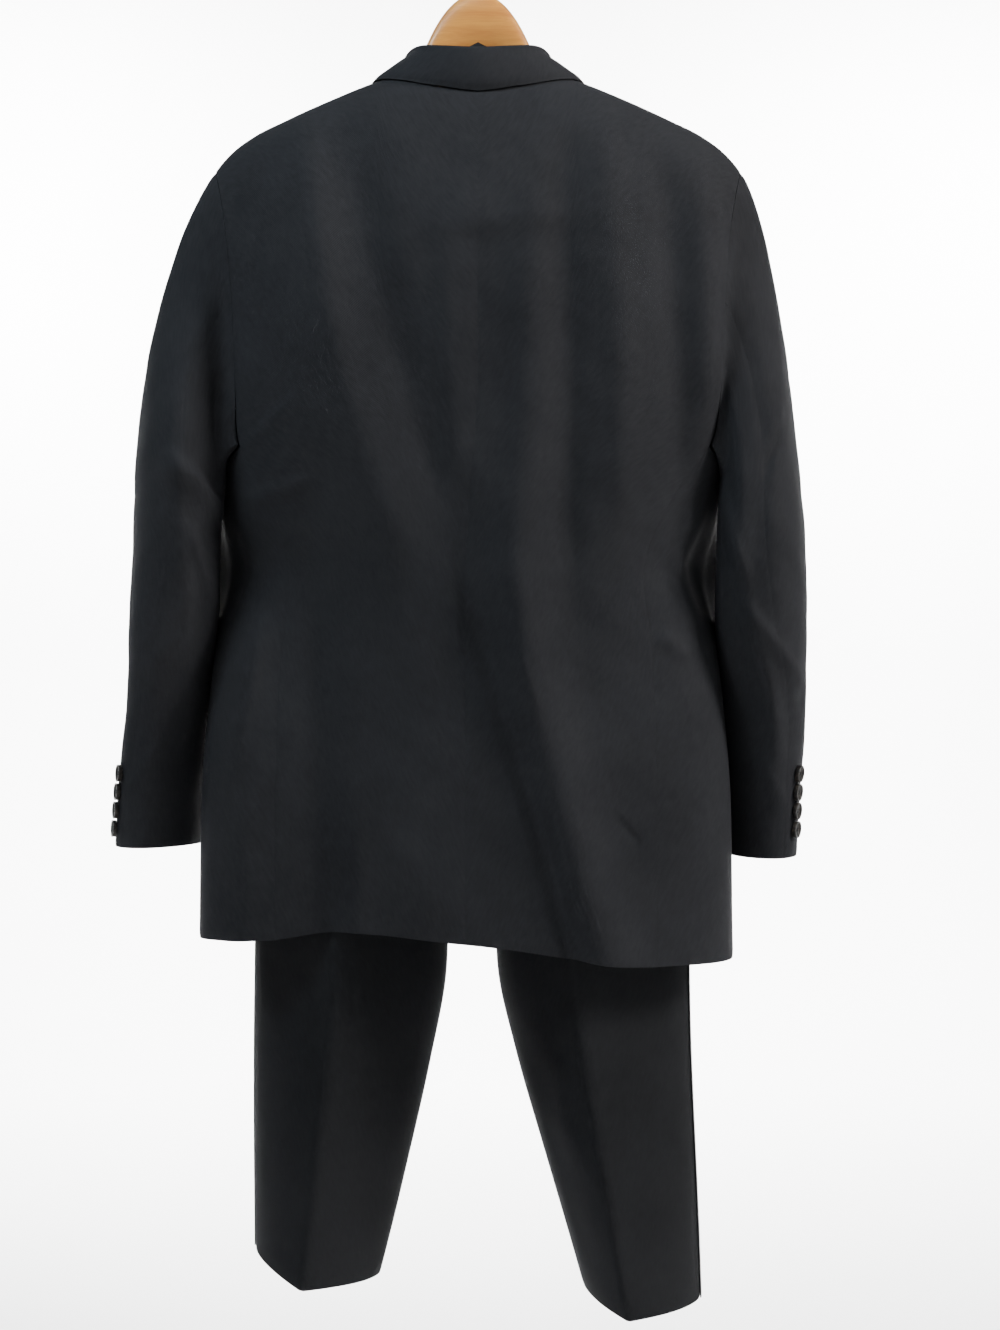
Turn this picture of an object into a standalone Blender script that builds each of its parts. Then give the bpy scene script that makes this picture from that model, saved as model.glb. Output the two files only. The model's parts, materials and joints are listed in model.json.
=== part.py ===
"""A man's tuxedo, jacket and trousers, hanging on a wooden suit hanger.

Metres, +Z up. The origin is the inside top of the hanger's hook. The front of the suit
faces -Y, its back faces +Y, and the wearer's left is +X. Every piece of cloth is a thin
wall between two point grids: its outer side, and the same points moved in by the cloth's
thickness. Heights are called levels; they are negative, because the suit hangs.
"""
import math
from collections import namedtuple

import bmesh
import bpy
import numpy as np

# ---------------------------------------------------------------- cloth and seams
WALL = 0.0015  # thickness of the cloth
SEAM = 0.0003  # gap between two pieces at a seam
LIFT = 0.0004  # gap under a piece that lies on another
STEP = 1e-4  # step of the slopes that give a surface its outward direction

# ---------------------------------------------------------------- jacket body
Ridge = namedtuple("Ridge", "out level")
SHOULDER_LINE = (
    Ridge(0.000, -0.1300),
    Ridge(0.050, -0.1335),
    Ridge(0.085, -0.1430),
    Ridge(0.130, -0.1605),
    Ridge(0.170, -0.1782),
    Ridge(0.196, -0.1905),
    Ridge(0.218, -0.2060),
    Ridge(0.238, -0.2285),
    Ridge(0.260, -0.2620),
)
Girth = namedtuple("Girth", "level back_half front_half back front")
BODY = (  # half-widths of the back and of the front, then how far each reaches
    Girth(-0.150, 0.2600, 0.2600, 0.088, 0.088),
    Girth(-0.220, 0.2500, 0.2500, 0.090, 0.090),
    Girth(-0.260, 0.2400, 0.2400, 0.092, 0.092),
    Girth(-0.320, 0.2300, 0.2300, 0.095, 0.096),
    Girth(-0.420, 0.2240, 0.2250, 0.098, 0.099),
    Girth(-0.500, 0.2154, 0.2330, 0.098, 0.097),
    Girth(-0.535, 0.2085, 0.2385, 0.097, 0.095),
    Girth(-0.570, 0.1965, 0.2420, 0.096, 0.094),
    Girth(-0.640, 0.2165, 0.2320, 0.097, 0.093),
    Girth(-0.720, 0.2285, 0.2285, 0.102, 0.093),
    Girth(-0.915, 0.2345, 0.2345, 0.108, 0.096),
)
FLANK_START = math.radians(75.0)  # where the back's half-width gives way to the front's
FLANK_END = math.radians(115.0)
BODY_SQUARENESS = 2.6  # 2 is an ellipse, more is boxier
SHOULDER_DROP = 0.250  # height over which the body rounds in to the shoulder line
SHOULDER_SQUARENESS = 2.5
SWAY = 0.0105  # how far the lower body hangs to the wearer's left
SWAY_TOP = -0.40
SWAY_BOTTOM = -0.60
HALF_NECK = 0.085  # half-width of the neck opening at the shoulder line
NECK_CUT = 0.366  # share of the shoulder's rounding that the back neck cuts away

Edge = namedtuple("Edge", "level out")
BACK_EDGE = (  # side seam of the back, then the back of the armhole
    Edge(-0.930, 0.1600),
    Edge(-0.750, 0.1610),
    Edge(-0.640, 0.1570),
    Edge(-0.570, 0.1520),
    Edge(-0.510, 0.1760),
    Edge(-0.470, 0.2020),
    Edge(-0.430, 0.2080),
    Edge(-0.380, 0.2110),
    Edge(-0.320, 0.2150),
    Edge(-0.270, 0.2210),
    Edge(-0.240, 0.2270),
    Edge(-0.222, 0.2320),
    Edge(-0.200, 0.2390),
)
FRONT_SIDE_EDGE = (  # side seam of the front, then the front of the armhole
    Edge(-0.930, 0.1500),
    Edge(-0.750, 0.1550),
    Edge(-0.640, 0.1530),
    Edge(-0.570, 0.1470),
    Edge(-0.510, 0.1680),
    Edge(-0.460, 0.1890),
    Edge(-0.420, 0.1930),
    Edge(-0.360, 0.1970),
    Edge(-0.300, 0.2050),
    Edge(-0.260, 0.2150),
    Edge(-0.240, 0.2230),
    Edge(-0.222, 0.2320),
    Edge(-0.200, 0.2420),
)
FRONT_EDGE = (  # roll line of the lapel, then the lapped front edge and its cutaway
    Edge(-0.930, 0.0770),
    Edge(-0.900, 0.0430),
    Edge(-0.870, 0.0210),
    Edge(-0.830, 0.0030),
    Edge(-0.780, -0.0090),
    Edge(-0.700, -0.0165),
    Edge(-0.620, -0.0165),
    Edge(-0.580, -0.0105),
    Edge(-0.530, 0.0003),
    Edge(-0.450, 0.0178),
    Edge(-0.300, 0.0506),
    Edge(-0.1425, 0.0850),
    Edge(-0.100, 0.0943),
)
UNDERARM_RISE = 0.94  # where the side seams meet the armhole: 0 the hem, 1 the rounding's start
UNDERARM_HANG = 0.018  # how far the armhole dips between the side seams
LAP_DEPTH = 0.0022  # how far the right front lies inside the left one
LAP_FULL = 0.022
LAP_END = 0.045

Hem = namedtuple("Hem", "across level")
BACK_HEM = (
    Hem(-0.235, -0.9200),
    Hem(-0.189, -0.9145),
    Hem(-0.110, -0.9060),
    Hem(-0.030, -0.8940),
    Hem(0.008, -0.8900),
    Hem(0.116, -0.8840),
    Hem(0.179, -0.8945),
    Hem(0.235, -0.9065),
)
HEM_CORNER = 0.020  # rise of the front's hem over its reach, towards the cutaway
HEM_CORNER_START = 0.115
HEM_CORNER_REACH = 0.090

Fold = namedtuple("Fold", "top low top_at middle_at low_at width height")
BACK_FOLDS = (  # ridges, and troughs with a height below 0
    Fold(-0.15, -0.62, 0.153, 0.148, 0.030, 0.022, 0.0072),
    Fold(-0.16, -0.60, 0.112, 0.095, -0.022, 0.021, -0.0062),
    Fold(-0.26, -0.56, 0.028, 0.022, 0.014, 0.013, 0.0030),
    Fold(-0.23, -0.76, -0.048, -0.036, -0.058, 0.019, 0.0066),
    Fold(-0.15, -0.66, -0.074, -0.066, -0.094, 0.015, -0.0056),
    Fold(-0.14, -0.60, -0.106, -0.118, -0.132, 0.017, 0.0062),
    Fold(-0.16, -0.58, -0.154, -0.163, -0.180, 0.015, -0.0056),
    Fold(-0.19, -0.54, -0.190, -0.196, -0.206, 0.016, 0.0060),
    Fold(-0.46, -1.12, -0.020, -0.066, -0.192, 0.028, 0.0165),
    Fold(-0.54, -1.00, 0.020, -0.066, -0.110, 0.011, -0.0064),
    Fold(-0.44, -1.20, 0.145, 0.118, 0.098, 0.060, -0.0130),
    Fold(-0.44, -1.16, 0.135, 0.120, 0.100, 0.018, -0.0046),
    Fold(-0.74, -1.10, 0.094, 0.092, 0.090, 0.013, 0.0030),
    Fold(-0.56, -1.08, 0.168, 0.192, 0.204, 0.014, 0.0036),
)
FRONT_FOLDS = (
    Fold(-0.44, -0.72, 0.150, 0.132, 0.120, 0.024, 0.0035),
    Fold(-0.44, -0.70, -0.146, -0.130, -0.118, 0.024, 0.0035),
    Fold(-0.72, -1.10, 0.085, 0.092, 0.100, 0.034, 0.0040),
    Fold(-0.72, -1.12, -0.080, -0.092, -0.104, 0.034, 0.0044),
)
FOLD_FADE = 0.25  # share of a fold's length over which it rises and dies away

# ---------------------------------------------------------------- sleeves
Ring = namedtuple("Ring", "level out fore half_width half_depth turn")
LEFT_SLEEVE = (
    Ring(-0.500, 0.2631, 0.016, 0.0384, 0.0670, -14.5),
    Ring(-0.550, 0.2660, 0.016, 0.0370, 0.0640, -16.0),
    Ring(-0.620, 0.2700, 0.004, 0.0392, 0.0640, -8.0),
    Ring(-0.700, 0.2765, -0.022, 0.0370, 0.0620, 8.0),
    Ring(-0.770, 0.2835, -0.028, 0.0365, 0.0575, 15.0),
    Ring(-0.820, 0.2870, -0.031, 0.0360, 0.0550, 20.0),
)
RIGHT_SLEEVE = (
    Ring(-0.500, 0.2508, 0.010, 0.0339, 0.0690, -15.0),
    Ring(-0.550, 0.2503, 0.016, 0.0372, 0.0640, -16.0),
    Ring(-0.620, 0.2510, 0.004, 0.0405, 0.0630, -8.0),
    Ring(-0.700, 0.2545, -0.022, 0.0382, 0.0620, 6.0),
    Ring(-0.770, 0.2545, -0.028, 0.0345, 0.0575, 6.0),
    Ring(-0.829, 0.2545, -0.031, 0.0320, 0.0550, 6.0),
)
LEFT_SLEEVE_FOLDS = (  # their places are angles round the sleeve: 0 outside, 90 back, 180 inside
    Fold(-0.34, -0.58, 95.0, 118.0, 150.0, 15.0, -0.0055),
    Fold(-0.30, -0.54, 60.0, 68.0, 84.0, 16.0, 0.0040),
    Fold(-0.49, -0.72, 70.0, 105.0, 150.0, 16.0, 0.0045),
    Fold(-0.42, -0.70, 148.0, 150.0, 150.0, 17.0, 0.0042),
    Fold(-0.52, -0.68, 290.0, 265.0, 240.0, 18.0, -0.0040),
    Fold(-0.60, -0.76, 300.0, 280.0, 250.0, 18.0, 0.0035),
)
RIGHT_SLEEVE_FOLDS = (
    Fold(-0.32, -0.80, 112.0, 116.0, 88.0, 13.0, 0.0050),
    Fold(-0.34, -0.60, 66.0, 74.0, 84.0, 14.0, -0.0030),
    Fold(-0.42, -0.72, 144.0, 146.0, 146.0, 17.0, 0.0048),
    Fold(-0.52, -0.68, 290.0, 265.0, 240.0, 18.0, -0.0040),
    Fold(-0.60, -0.76, 300.0, 280.0, 250.0, 18.0, 0.0035),
)
SLEEVE_BACK_SEAM = 75.0
SLEEVE_FRONT_SEAM = 250.0
SLEEVE_SEAM_GAP = 0.17  # degrees, half of a seam's gap on the sleeve's radius
HEAD_GAP = 0.0009  # between the armhole's edge and the sleeve head
HEAD_START = {1: 0.155, -1: 0.125}  # first handle of the sleeve head as a share of its drop
HEAD_END = 0.45
UNDERARM_TUCK = 30.0  # degrees round the underarm where the sleeve starts straight outwards
UNDERARM_BLEND = 50.0

# ---------------------------------------------------------------- collar and lapels
CollarRow = namedtuple("CollarRow", "seam_x seam_y fold_x fold_y fold_z fall_x fall_y")
COLLAR = (  # from the middle of the back neck to the gorge
    CollarRow(0.0000, 0.0530, 0.0000, 0.0578, -0.1300, 0.0000, 0.0576),
    CollarRow(0.0350, 0.0485, 0.0310, 0.0520, -0.1265, 0.0400, 0.0522),
    CollarRow(0.0620, 0.0360, 0.0500, 0.0360, -0.1210, 0.0690, 0.0400),
    CollarRow(0.0785, 0.0175, 0.0610, 0.0120, -0.1190, 0.0880, 0.0215),
    CollarRow(0.0825, -0.0040, 0.0640, -0.0100, -0.1225, 0.0965, -0.0040),
    CollarRow(0.0772, -0.0480, 0.0670, -0.0520, -0.1580, 0.1050, -0.0420),
    CollarRow(0.0665, -0.0712, 0.0645, -0.0790, -0.2130, 0.1120, -0.0695),
)
FOLD_RADIUS = 0.0026  # of the collar's rolled top edge
COLLAR_LIFT = 0.0011  # gap under the collar's fall
LAPEL_BOTTOM = -0.520
LapelRow = namedtuple("LapelRow", "along width")
LAPEL = (
    LapelRow(0.00, 0.0040),
    LapelRow(0.20, 0.0260),
    LapelRow(0.50, 0.0560),
    LapelRow(0.80, 0.0810),
    LapelRow(1.00, 0.0950),
)
LAPEL_TOP_INNER = -0.2200
LAPEL_NOTCH = -0.2420
LAPEL_PEAK = -0.2300
LAPEL_LIFT = 0.0012
LAPEL_ROLL = 0.0026  # how far the lapel stands off along its roll line
LAPEL_OVERHANG = 0.0015

# ---------------------------------------------------------------- pockets and buttons
FLAP_BACK = 106.0  # degrees round the body: 0 centre back, 90 side, 180 centre front
FLAP_FRONT = 146.0
FLAP_TOP = -0.700
FLAP_HEIGHT = 0.052
FLAP_SLANT = 0.006
WELT_INNER = 0.128
WELT_OUTER = 0.184
WELT_TOP = -0.338
WELT_HEIGHT = 0.024
FRONT_BUTTON_LEVEL = -0.600
FRONT_BUTTON_RADIUS = 0.0100
CUFF_BUTTON_RADIUS = 0.0075
BUTTON_THICKNESS = 0.0032
CUFF_BUTTONS = 4
CUFF_BUTTON_FIRST = -0.804
CUFF_BUTTON_PITCH = 0.0165
CUFF_BUTTON_ANGLE = 52.0

# ---------------------------------------------------------------- trousers
Leg = namedtuple("Leg", "level inner outer back corner crease")
TROUSERS = (  # corner is the side's rounding, crease 1 a pressed edge and 2 none
    Leg(-0.2733, 0.00015, 0.2005, 0.0066, 0.0066, 2.0),
    Leg(-0.3100, 0.00015, 0.2020, 0.0240, 0.0400, 2.0),
    Leg(-0.3600, 0.00015, 0.2045, 0.0480, 0.0900, 1.9),
    Leg(-0.4200, 0.00015, 0.2055, 0.0680, 0.1200, 1.7),
    Leg(-0.4800, 0.0020, 0.1980, 0.0760, 0.1500, 1.4),
    Leg(-0.5600, 0.0080, 0.1875, 0.0780, 0.1500, 1.2),
    Leg(-0.6400, 0.0125, 0.1870, 0.0790, 0.1500, 1.1),
    Leg(-0.8300, 0.0215, 0.1915, 0.0810, 0.1500, 1.0),
    Leg(-0.9400, 0.0240, 0.1925, 0.0820, 0.1500, 1.0),
    Leg(-1.0000, 0.0370, 0.1935, 0.0825, 0.1500, 1.0),
    Leg(-1.1000, 0.0630, 0.1955, 0.0820, 0.1500, 1.0),
    Leg(-1.2200, 0.0955, 0.1975, 0.0800, 0.1500, 1.0),
)
TROUSER_FRONT = 0.96  # the front's depth as a share of the back's
TROUSER_SWAY = 0.005  # how far the trousers hang to the wearer's left
FOOT_SWAY = -0.0005  # the same at the hems
SWING_TOP = -0.95
SWING_BOTTOM = -1.25
CROTCH = -0.480
RISE_BLEND = 0.075  # height over which the centre seam curves out above the crotch
LEG_ROUNDNESS = 0.60
TROUSER_HEM = {1: -1.187, -1: -1.2120}  # level of each leg's hem at its middle
TROUSER_HEM_SLOPE = {1: 0.22, -1: 0.16}  # rise of each hem towards the wearer's left
HEM_MIDDLE = 0.140
LEG_TURN = {1: 0.09, -1: 0.24}  # how far each crease leans to the wearer's left, by depth
TURN_TOP = -0.55
TURN_BOTTOM = -0.95
WAIST_TOP = -0.2350
WAIST_HEIGHT = 0.0380
WAIST_HALF_WIDTH = 0.2005
WAIST_HALF_DEPTH = 0.0068
STRIPE_BEFORE = 0.0180  # how far the stripe reaches onto the front
STRIPE_BEHIND = 0.0022  # how far it reaches onto the back
STRIPE_THICKNESS = 0.0010
STRIPE_AT_WAIST = 0.0045
STRIPE_FULL = 0.97  # where the stripe starts to narrow to the flat waist: 0 the hem, 1 the waist
LEG_FOLDS = (  # their places are shares across the panel, 0 inseam and 1 outseam
    Fold(-0.62, -0.86, 0.30, 0.26, 0.22, 0.08, -0.0040),
    Fold(-0.70, -0.98, 0.72, 0.76, 0.80, 0.08, -0.0035),
    Fold(-0.95, -1.20, 0.25, 0.27, 0.30, 0.08, -0.0025),
)

# ---------------------------------------------------------------- hanger
Wood = namedtuple("Wood", "out top bottom half_thickness")
NECK_OF_HANGER = (
    Wood(0.0000, -0.0616, -0.1180, 0.0085),
    Wood(0.0100, -0.0625, -0.1190, 0.0085),
    Wood(0.0170, -0.0668, -0.1210, 0.0087),
    Wood(0.0270, -0.0758, -0.1265, 0.0090),
    Wood(0.0345, -0.0860, -0.1320, 0.0093),
    Wood(0.0410, -0.0975, -0.1370, 0.0096),
    Wood(0.0460, -0.1080, -0.1405, 0.0098),
    Wood(0.0540, -0.1210, -0.1465, 0.0102),
    Wood(0.0680, -0.1402, -0.1565, 0.0108),
)
ARM_STATIONS = (0.095, 0.125, 0.150, 0.175, 0.192, 0.204)
ARM_HEIGHT = 0.0240
ARM_END_THICKNESS = 0.0160
WOOD_SQUARENESS = 2.1
WOOD_DIP = 3  # gaps by which the arms lie lower beside the neck
WOOD_SIDES = 12
HOOK_WIRE = 0.0019
HOOK_RADIUS = 0.0225
HOOK_END = -28.0
HOOK_START = 250.0
FERRULE_RADIUS = 0.0050
FERRULE_HEIGHT = 0.0040
BAR_WIRE = 0.0020
BAR_LEVEL = -0.2195
BAR_HALF = 0.1580
CLIP_OUT = 0.1300
CLIP_WIDTH = 0.0260
CLIP_BOTTOM = -0.2620
CLIP_GAP = 0.0072
LOOP_HALF = 0.0240
LOOP_ENDS = -0.1335
LOOP_PEAK = -0.1245
LOOP_BAND = 0.0050
LOOP_OUT = 0.0542
LOOP_CURVE = 6.0

# ---------------------------------------------------------------- finishes
Finish = namedtuple("Finish", "colour roughness metallic")
WOOL = Finish((0.020, 0.021, 0.024), 0.85, 0.0)
SATIN = Finish((0.012, 0.012, 0.014), 0.38, 0.0)
HORN = Finish((0.014, 0.013, 0.013), 0.35, 0.0)
BEECH = Finish((0.540, 0.310, 0.145), 0.45, 0.0)
CHROME = Finish((0.780, 0.780, 0.790), 0.18, 1.0)

LEFT = 1
RIGHT = -1
NAMES = {LEFT: "left", RIGHT: "right"}
BACK = 1
FRONT = -1


# ---------------------------------------------------------------- small mathematics
def read(rows, key, name, at):
    """Smooth curve through two columns of a table, running straight on past its ends."""
    stations = np.array([getattr(row, key) for row in rows])
    values = np.array([getattr(row, name) for row in rows])
    order = np.argsort(stations)
    stations = stations[order]
    values = values[order]
    slopes = np.gradient(values, stations)
    at = np.asarray(at, dtype=float)
    first = np.clip(np.searchsorted(stations, at) - 1, 0, len(stations) - 2)
    span = stations[first + 1] - stations[first]
    share = (at - stations[first]) / span
    inside = np.clip(share, 0.0, 1.0)
    start = values[first]
    end = values[first + 1]
    leave = slopes[first] * span
    arrive = slopes[first + 1] * span
    rise = inside * inside * (3.0 - 2.0 * inside)
    curve = start + (end - start) * rise
    curve = curve + leave * inside * (1.0 - inside) ** 2 - arrive * inside ** 2 * (1.0 - inside)
    beyond = (share - inside) * np.where(share < 0.0, leave, arrive)
    return curve + beyond


def ease(share):
    """Rise smoothly from 0 to 1 as share goes from 0 to 1."""
    share = np.clip(share, 0.0, 1.0)
    return share * share * (3.0 - 2.0 * share)


def signed_power(value, power):
    return np.sign(value) * np.abs(value) ** power


def stack(x, y, z):
    x, y, z = np.broadcast_arrays(x, y, z)
    return np.stack((x, y, z), axis=-1)


def unit(vectors):
    return vectors / np.maximum(np.linalg.norm(vectors, axis=-1, keepdims=True), 1e-12)


def folds(rows, place, level):
    """Height of all folds of a table at a place across the cloth."""
    total = 0.0
    for fold in rows:
        down = (fold.top - level) / (fold.top - fold.low)
        share = np.clip(down, 0.0, 1.0)
        outer = fold.top_at * (1 - share) ** 2 + fold.low_at * share ** 2
        centre = outer + 2 * share * (1 - share) * fold.middle_at
        strength = ease(down / FOLD_FADE) * ease((1 - down) / FOLD_FADE)
        total = total + fold.height * strength * np.exp(-(((place - centre) / fold.width) ** 2))
    return total


# ---------------------------------------------------------------- scene and meshes
def clear_scene():
    for thing in list(bpy.data.objects):
        bpy.data.objects.remove(thing, do_unlink=True)


def make_collection(name):
    group = bpy.data.collections.new(name)
    bpy.context.scene.collection.children.link(group)
    return group


def make_material(name, finish):
    material = bpy.data.materials.new(name)
    material.use_nodes = True
    shader = material.node_tree.nodes["Principled BSDF"]
    shader.inputs["Base Color"].default_value = (*finish.colour, 1.0)
    shader.inputs["Roughness"].default_value = finish.roughness
    shader.inputs["Metallic"].default_value = finish.metallic
    return material


def add_object(name, data, finish):
    thing = bpy.data.objects.new(name, data)
    thing.data.materials.append(make_material(name + "_finish", finish))
    GROUP.objects.link(thing)
    return thing


def mesh_object(name, points, faces, finish, sharp=40.0):
    """Closed mesh from points and faces, with its faces turned outwards."""
    mesh = bpy.data.meshes.new(name)
    mesh.from_pydata([tuple(point) for point in points], [], faces)
    shape = bmesh.new()
    shape.from_mesh(mesh)
    bmesh.ops.recalc_face_normals(shape, faces=shape.faces)
    shape.to_mesh(mesh)
    shape.free()
    mesh.shade_smooth()
    mesh.set_sharp_from_angle(angle=math.radians(sharp))
    return add_object(name, mesh, finish)


def slopes_of(point, u, v):
    """Directions in which a surface runs as its two places grow."""
    along_u = unit(point(u + STEP, v) - point(u - STEP, v))
    along_v = unit(point(u, v + STEP) - point(u, v - STEP))
    return along_u, along_v


def outward(point, u, v, axis):
    """Unit normals of a surface, pointing away from the axis inside it."""
    along_u, along_v = slopes_of(point, u, v)
    normal = unit(np.cross(along_u, along_v))
    away = point(u, v) - axis(point(u, v))
    turn = np.sign(np.sum(normal * away))
    return normal * turn


def cloth(name, point, us, vs, axis, finish, above=0.0, below=-WALL):
    """Closed wall between a surface's points moved out by above and by below."""
    u, v = np.meshgrid(np.asarray(us), np.asarray(vs), indexing="ij")
    normal = outward(point, u, v, axis)
    places = point(u, v)
    outer = places + normal * above
    inner = places + normal * below
    wide, high = u.shape
    count = wide * high
    points = np.concatenate((outer.reshape(-1, 3), inner.reshape(-1, 3)))
    faces = []
    for i in range(wide - 1):
        for j in range(high - 1):
            a = i * high + j
            b = a + high
            faces.append((a, b, b + 1, a + 1))
            faces.append((count + a, count + a + 1, count + b + 1, count + b))
    rim = [i * high for i in range(wide)]
    rim += [(wide - 1) * high + j for j in range(1, high)]
    rim += [i * high + high - 1 for i in range(wide - 2, -1, -1)]
    rim += [j for j in range(high - 2, 0, -1)]
    for a, b in zip(rim, rim[1:] + rim[:1]):
        faces.append((b, a, count + a, count + b))
    return mesh_object(name, points, faces, finish)


# ---------------------------------------------------------------- jacket body surface
def sway(level):
    return SWAY * ease((SWAY_TOP - level) / (SWAY_TOP - SWAY_BOTTOM))


def body_axis(points):
    return stack(sway(points[..., 2]), 0.0 * points[..., 1], points[..., 2] - 0.05)


def half_width_at(level, forward):
    """Half-width of the body at a level; forward goes from 0 on the back to 1 on the front."""
    behind = read(BODY, "level", "back_half", level)
    return behind + (read(BODY, "level", "front_half", level) - behind) * forward


def torso(x, level, face, side, over=1.0, half_width=None):
    """Outer point of the jacket's body at a distance x from its middle, on one face."""
    if half_width is None:
        half_width = half_width_at(level, 0.0 if face == BACK else 1.0)
    depth = read(BODY, "level", "back" if face == BACK else "front", level)
    drop = (read(SHOULDER_LINE, "out", "level", np.abs(x)) - level) / SHOULDER_DROP
    rounded = np.clip(1.0 - np.clip(drop, 0.0, 1.0), 0.0, 1.0) ** SHOULDER_SQUARENESS
    lean = over * (1.0 - rounded) ** (1.0 / SHOULDER_SQUARENESS)
    reach = np.clip(np.abs(x) / half_width, 0.0, 1.0) ** BODY_SQUARENESS
    flank = (1.0 - reach) ** (1.0 / BODY_SQUARENESS)
    rows = BACK_FOLDS if face == BACK else FRONT_FOLDS
    fold = folds(rows, side * x, level) * np.clip(flank / 0.6, 0.0, 1.0) * np.abs(lean)
    y = face * (depth * flank * lean + fold)
    return stack(side * x + sway(level), y, level)


def hem_level(x, face, side):
    if face == BACK:
        return read(BACK_HEM, "across", "level", side * x)
    corner = np.clip((HEM_CORNER_START - x) / HEM_CORNER_REACH, 0.0, None) ** 2
    flat = float(read(BACK_HEM, "across", "level", side * BACK_HEM[-1].across))
    return flat + HEM_CORNER * corner


def rounding(x, v, face):
    """Angle over the shoulder for v from 1 to 2; the back neck stops short of the ridge."""
    top = 1.0
    if face == BACK:
        top = 1.0 - NECK_CUT * np.sqrt(np.clip(1.0 - (x / HALF_NECK) ** 2, 0.0, 1.0))
    return (v - 1.0) * top * math.pi / 2


def body_level(x, v, face, side):
    """Level at v: 0 the hem, 1 where the shoulder starts to round, 2 the top edge."""
    crest = read(SHOULDER_LINE, "out", "level", np.abs(x))
    start = crest - SHOULDER_DROP
    hem = hem_level(x, face, side)
    turn = np.clip(rounding(x, v, face), 0.0, math.pi)
    high = start + SHOULDER_DROP * np.abs(np.sin(turn)) ** (2.0 / SHOULDER_SQUARENESS)
    return np.where(v < 1.0, hem + (start - hem) * v, high)


def edge_out(rows, v, face, side):
    """Distance from the middle of an edge given by level, at each v."""
    out = np.full_like(np.asarray(v, dtype=float), 0.15)
    for _ in range(12):
        out = read(rows, "level", "out", body_level(out, v, face, side))
    return out


def body_panel(side, face, inner_edge, outer_edge):
    """Surface of a front or back panel: u 0 at its middle edge, 1 at its side edge."""

    def point(u, v):
        inner = inner_edge(v)
        outer = edge_out(outer_edge, v, face, side) - SEAM / 2
        x = inner + (outer - inner) * u
        over = np.where(rounding(x, v, face) > math.pi / 2, -1.0, 1.0)
        place = torso(x, body_level(x, v, face, side), face, side, over)
        place[..., 1] += face * SEAM / 2
        if face == FRONT and side == RIGHT:
            inside = ease((LAP_END - x) / (LAP_END - LAP_FULL))
            place[..., 1] += LAP_DEPTH * inside
        return place

    return point


def back_surface(side):
    return body_panel(side, BACK, lambda v: np.full_like(v, SEAM / 2), BACK_EDGE)


def front_surface(side):
    return body_panel(
        side, FRONT, lambda v: edge_out(FRONT_EDGE, v, FRONT, side), FRONT_SIDE_EDGE
    )


def around(angle, level, side):
    """Outer point of the jacket's body at an angle from the centre back, in radians."""
    forward = ease((angle - FLANK_START) / (FLANK_END - FLANK_START))
    half_width = half_width_at(level, forward)
    x = half_width * np.abs(np.sin(angle)) ** (2.0 / BODY_SQUARENESS)
    back = torso(x, level, BACK, side, 1.0, half_width)
    front = torso(x, level, FRONT, side, 1.0, half_width)
    return np.where((np.cos(angle) > 0.0)[..., None], back, front)


def seam_angle(rows, level, shift):
    half_width = half_width_at(level, 0.0 if rows is BACK_EDGE else 1.0)
    share = (read(rows, "level", "out", level) + shift) / half_width
    return np.arcsin(np.clip(share, 0.0, 1.0) ** (BODY_SQUARENESS / 2.0))


def side_surface(side):
    """Surface of the side panel: u 0 at the back seam, 1 at the front one."""

    def point(u, v):
        rise = v * UNDERARM_RISE
        behind = body_level(edge_out(BACK_EDGE, rise, BACK, side), rise, BACK, side)
        before = body_level(edge_out(FRONT_SIDE_EDGE, rise, FRONT, side), rise, FRONT, side)
        hang = UNDERARM_HANG * np.sin(np.clip(u, 0.0, 1.0) * math.pi) * v ** 2
        level = behind + (before - behind) * u - hang
        start = seam_angle(BACK_EDGE, level, SEAM / 2)
        end = math.pi - seam_angle(FRONT_SIDE_EDGE, level, SEAM / 2)
        return around(start + (end - start) * u, level, side)

    return point


def columns(*parts):
    """Places from 0 to 1, evenly spaced within each part (its end, its count)."""
    places = [0.0]
    for end, count in parts:
        start = places[-1]
        places += [start + (end - start) * k / count for k in range(1, count + 1)]
    return np.array(places)


def jacket_panels(side):
    name = NAMES[side]
    neck_share = HALF_NECK / BACK_EDGE[-2].out
    across_back = columns((neck_share, 5), (1.0, 9))
    up = columns((UNDERARM_RISE, 13), (1.0, 1), (2.0, 11))
    cloth("jacket_back_" + name, back_surface(side), across_back, up, body_axis, WOOL)
    across = np.linspace(0.0, 1.0, 12)
    cloth("jacket_front_" + name, front_surface(side), across, up, body_axis, WOOL)
    round_side = np.linspace(0.0, 1.0, 6)
    up_side = np.linspace(0.0, 1.0, 14)
    cloth("jacket_side_" + name, side_surface(side), round_side, up_side, body_axis, WOOL)


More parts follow.
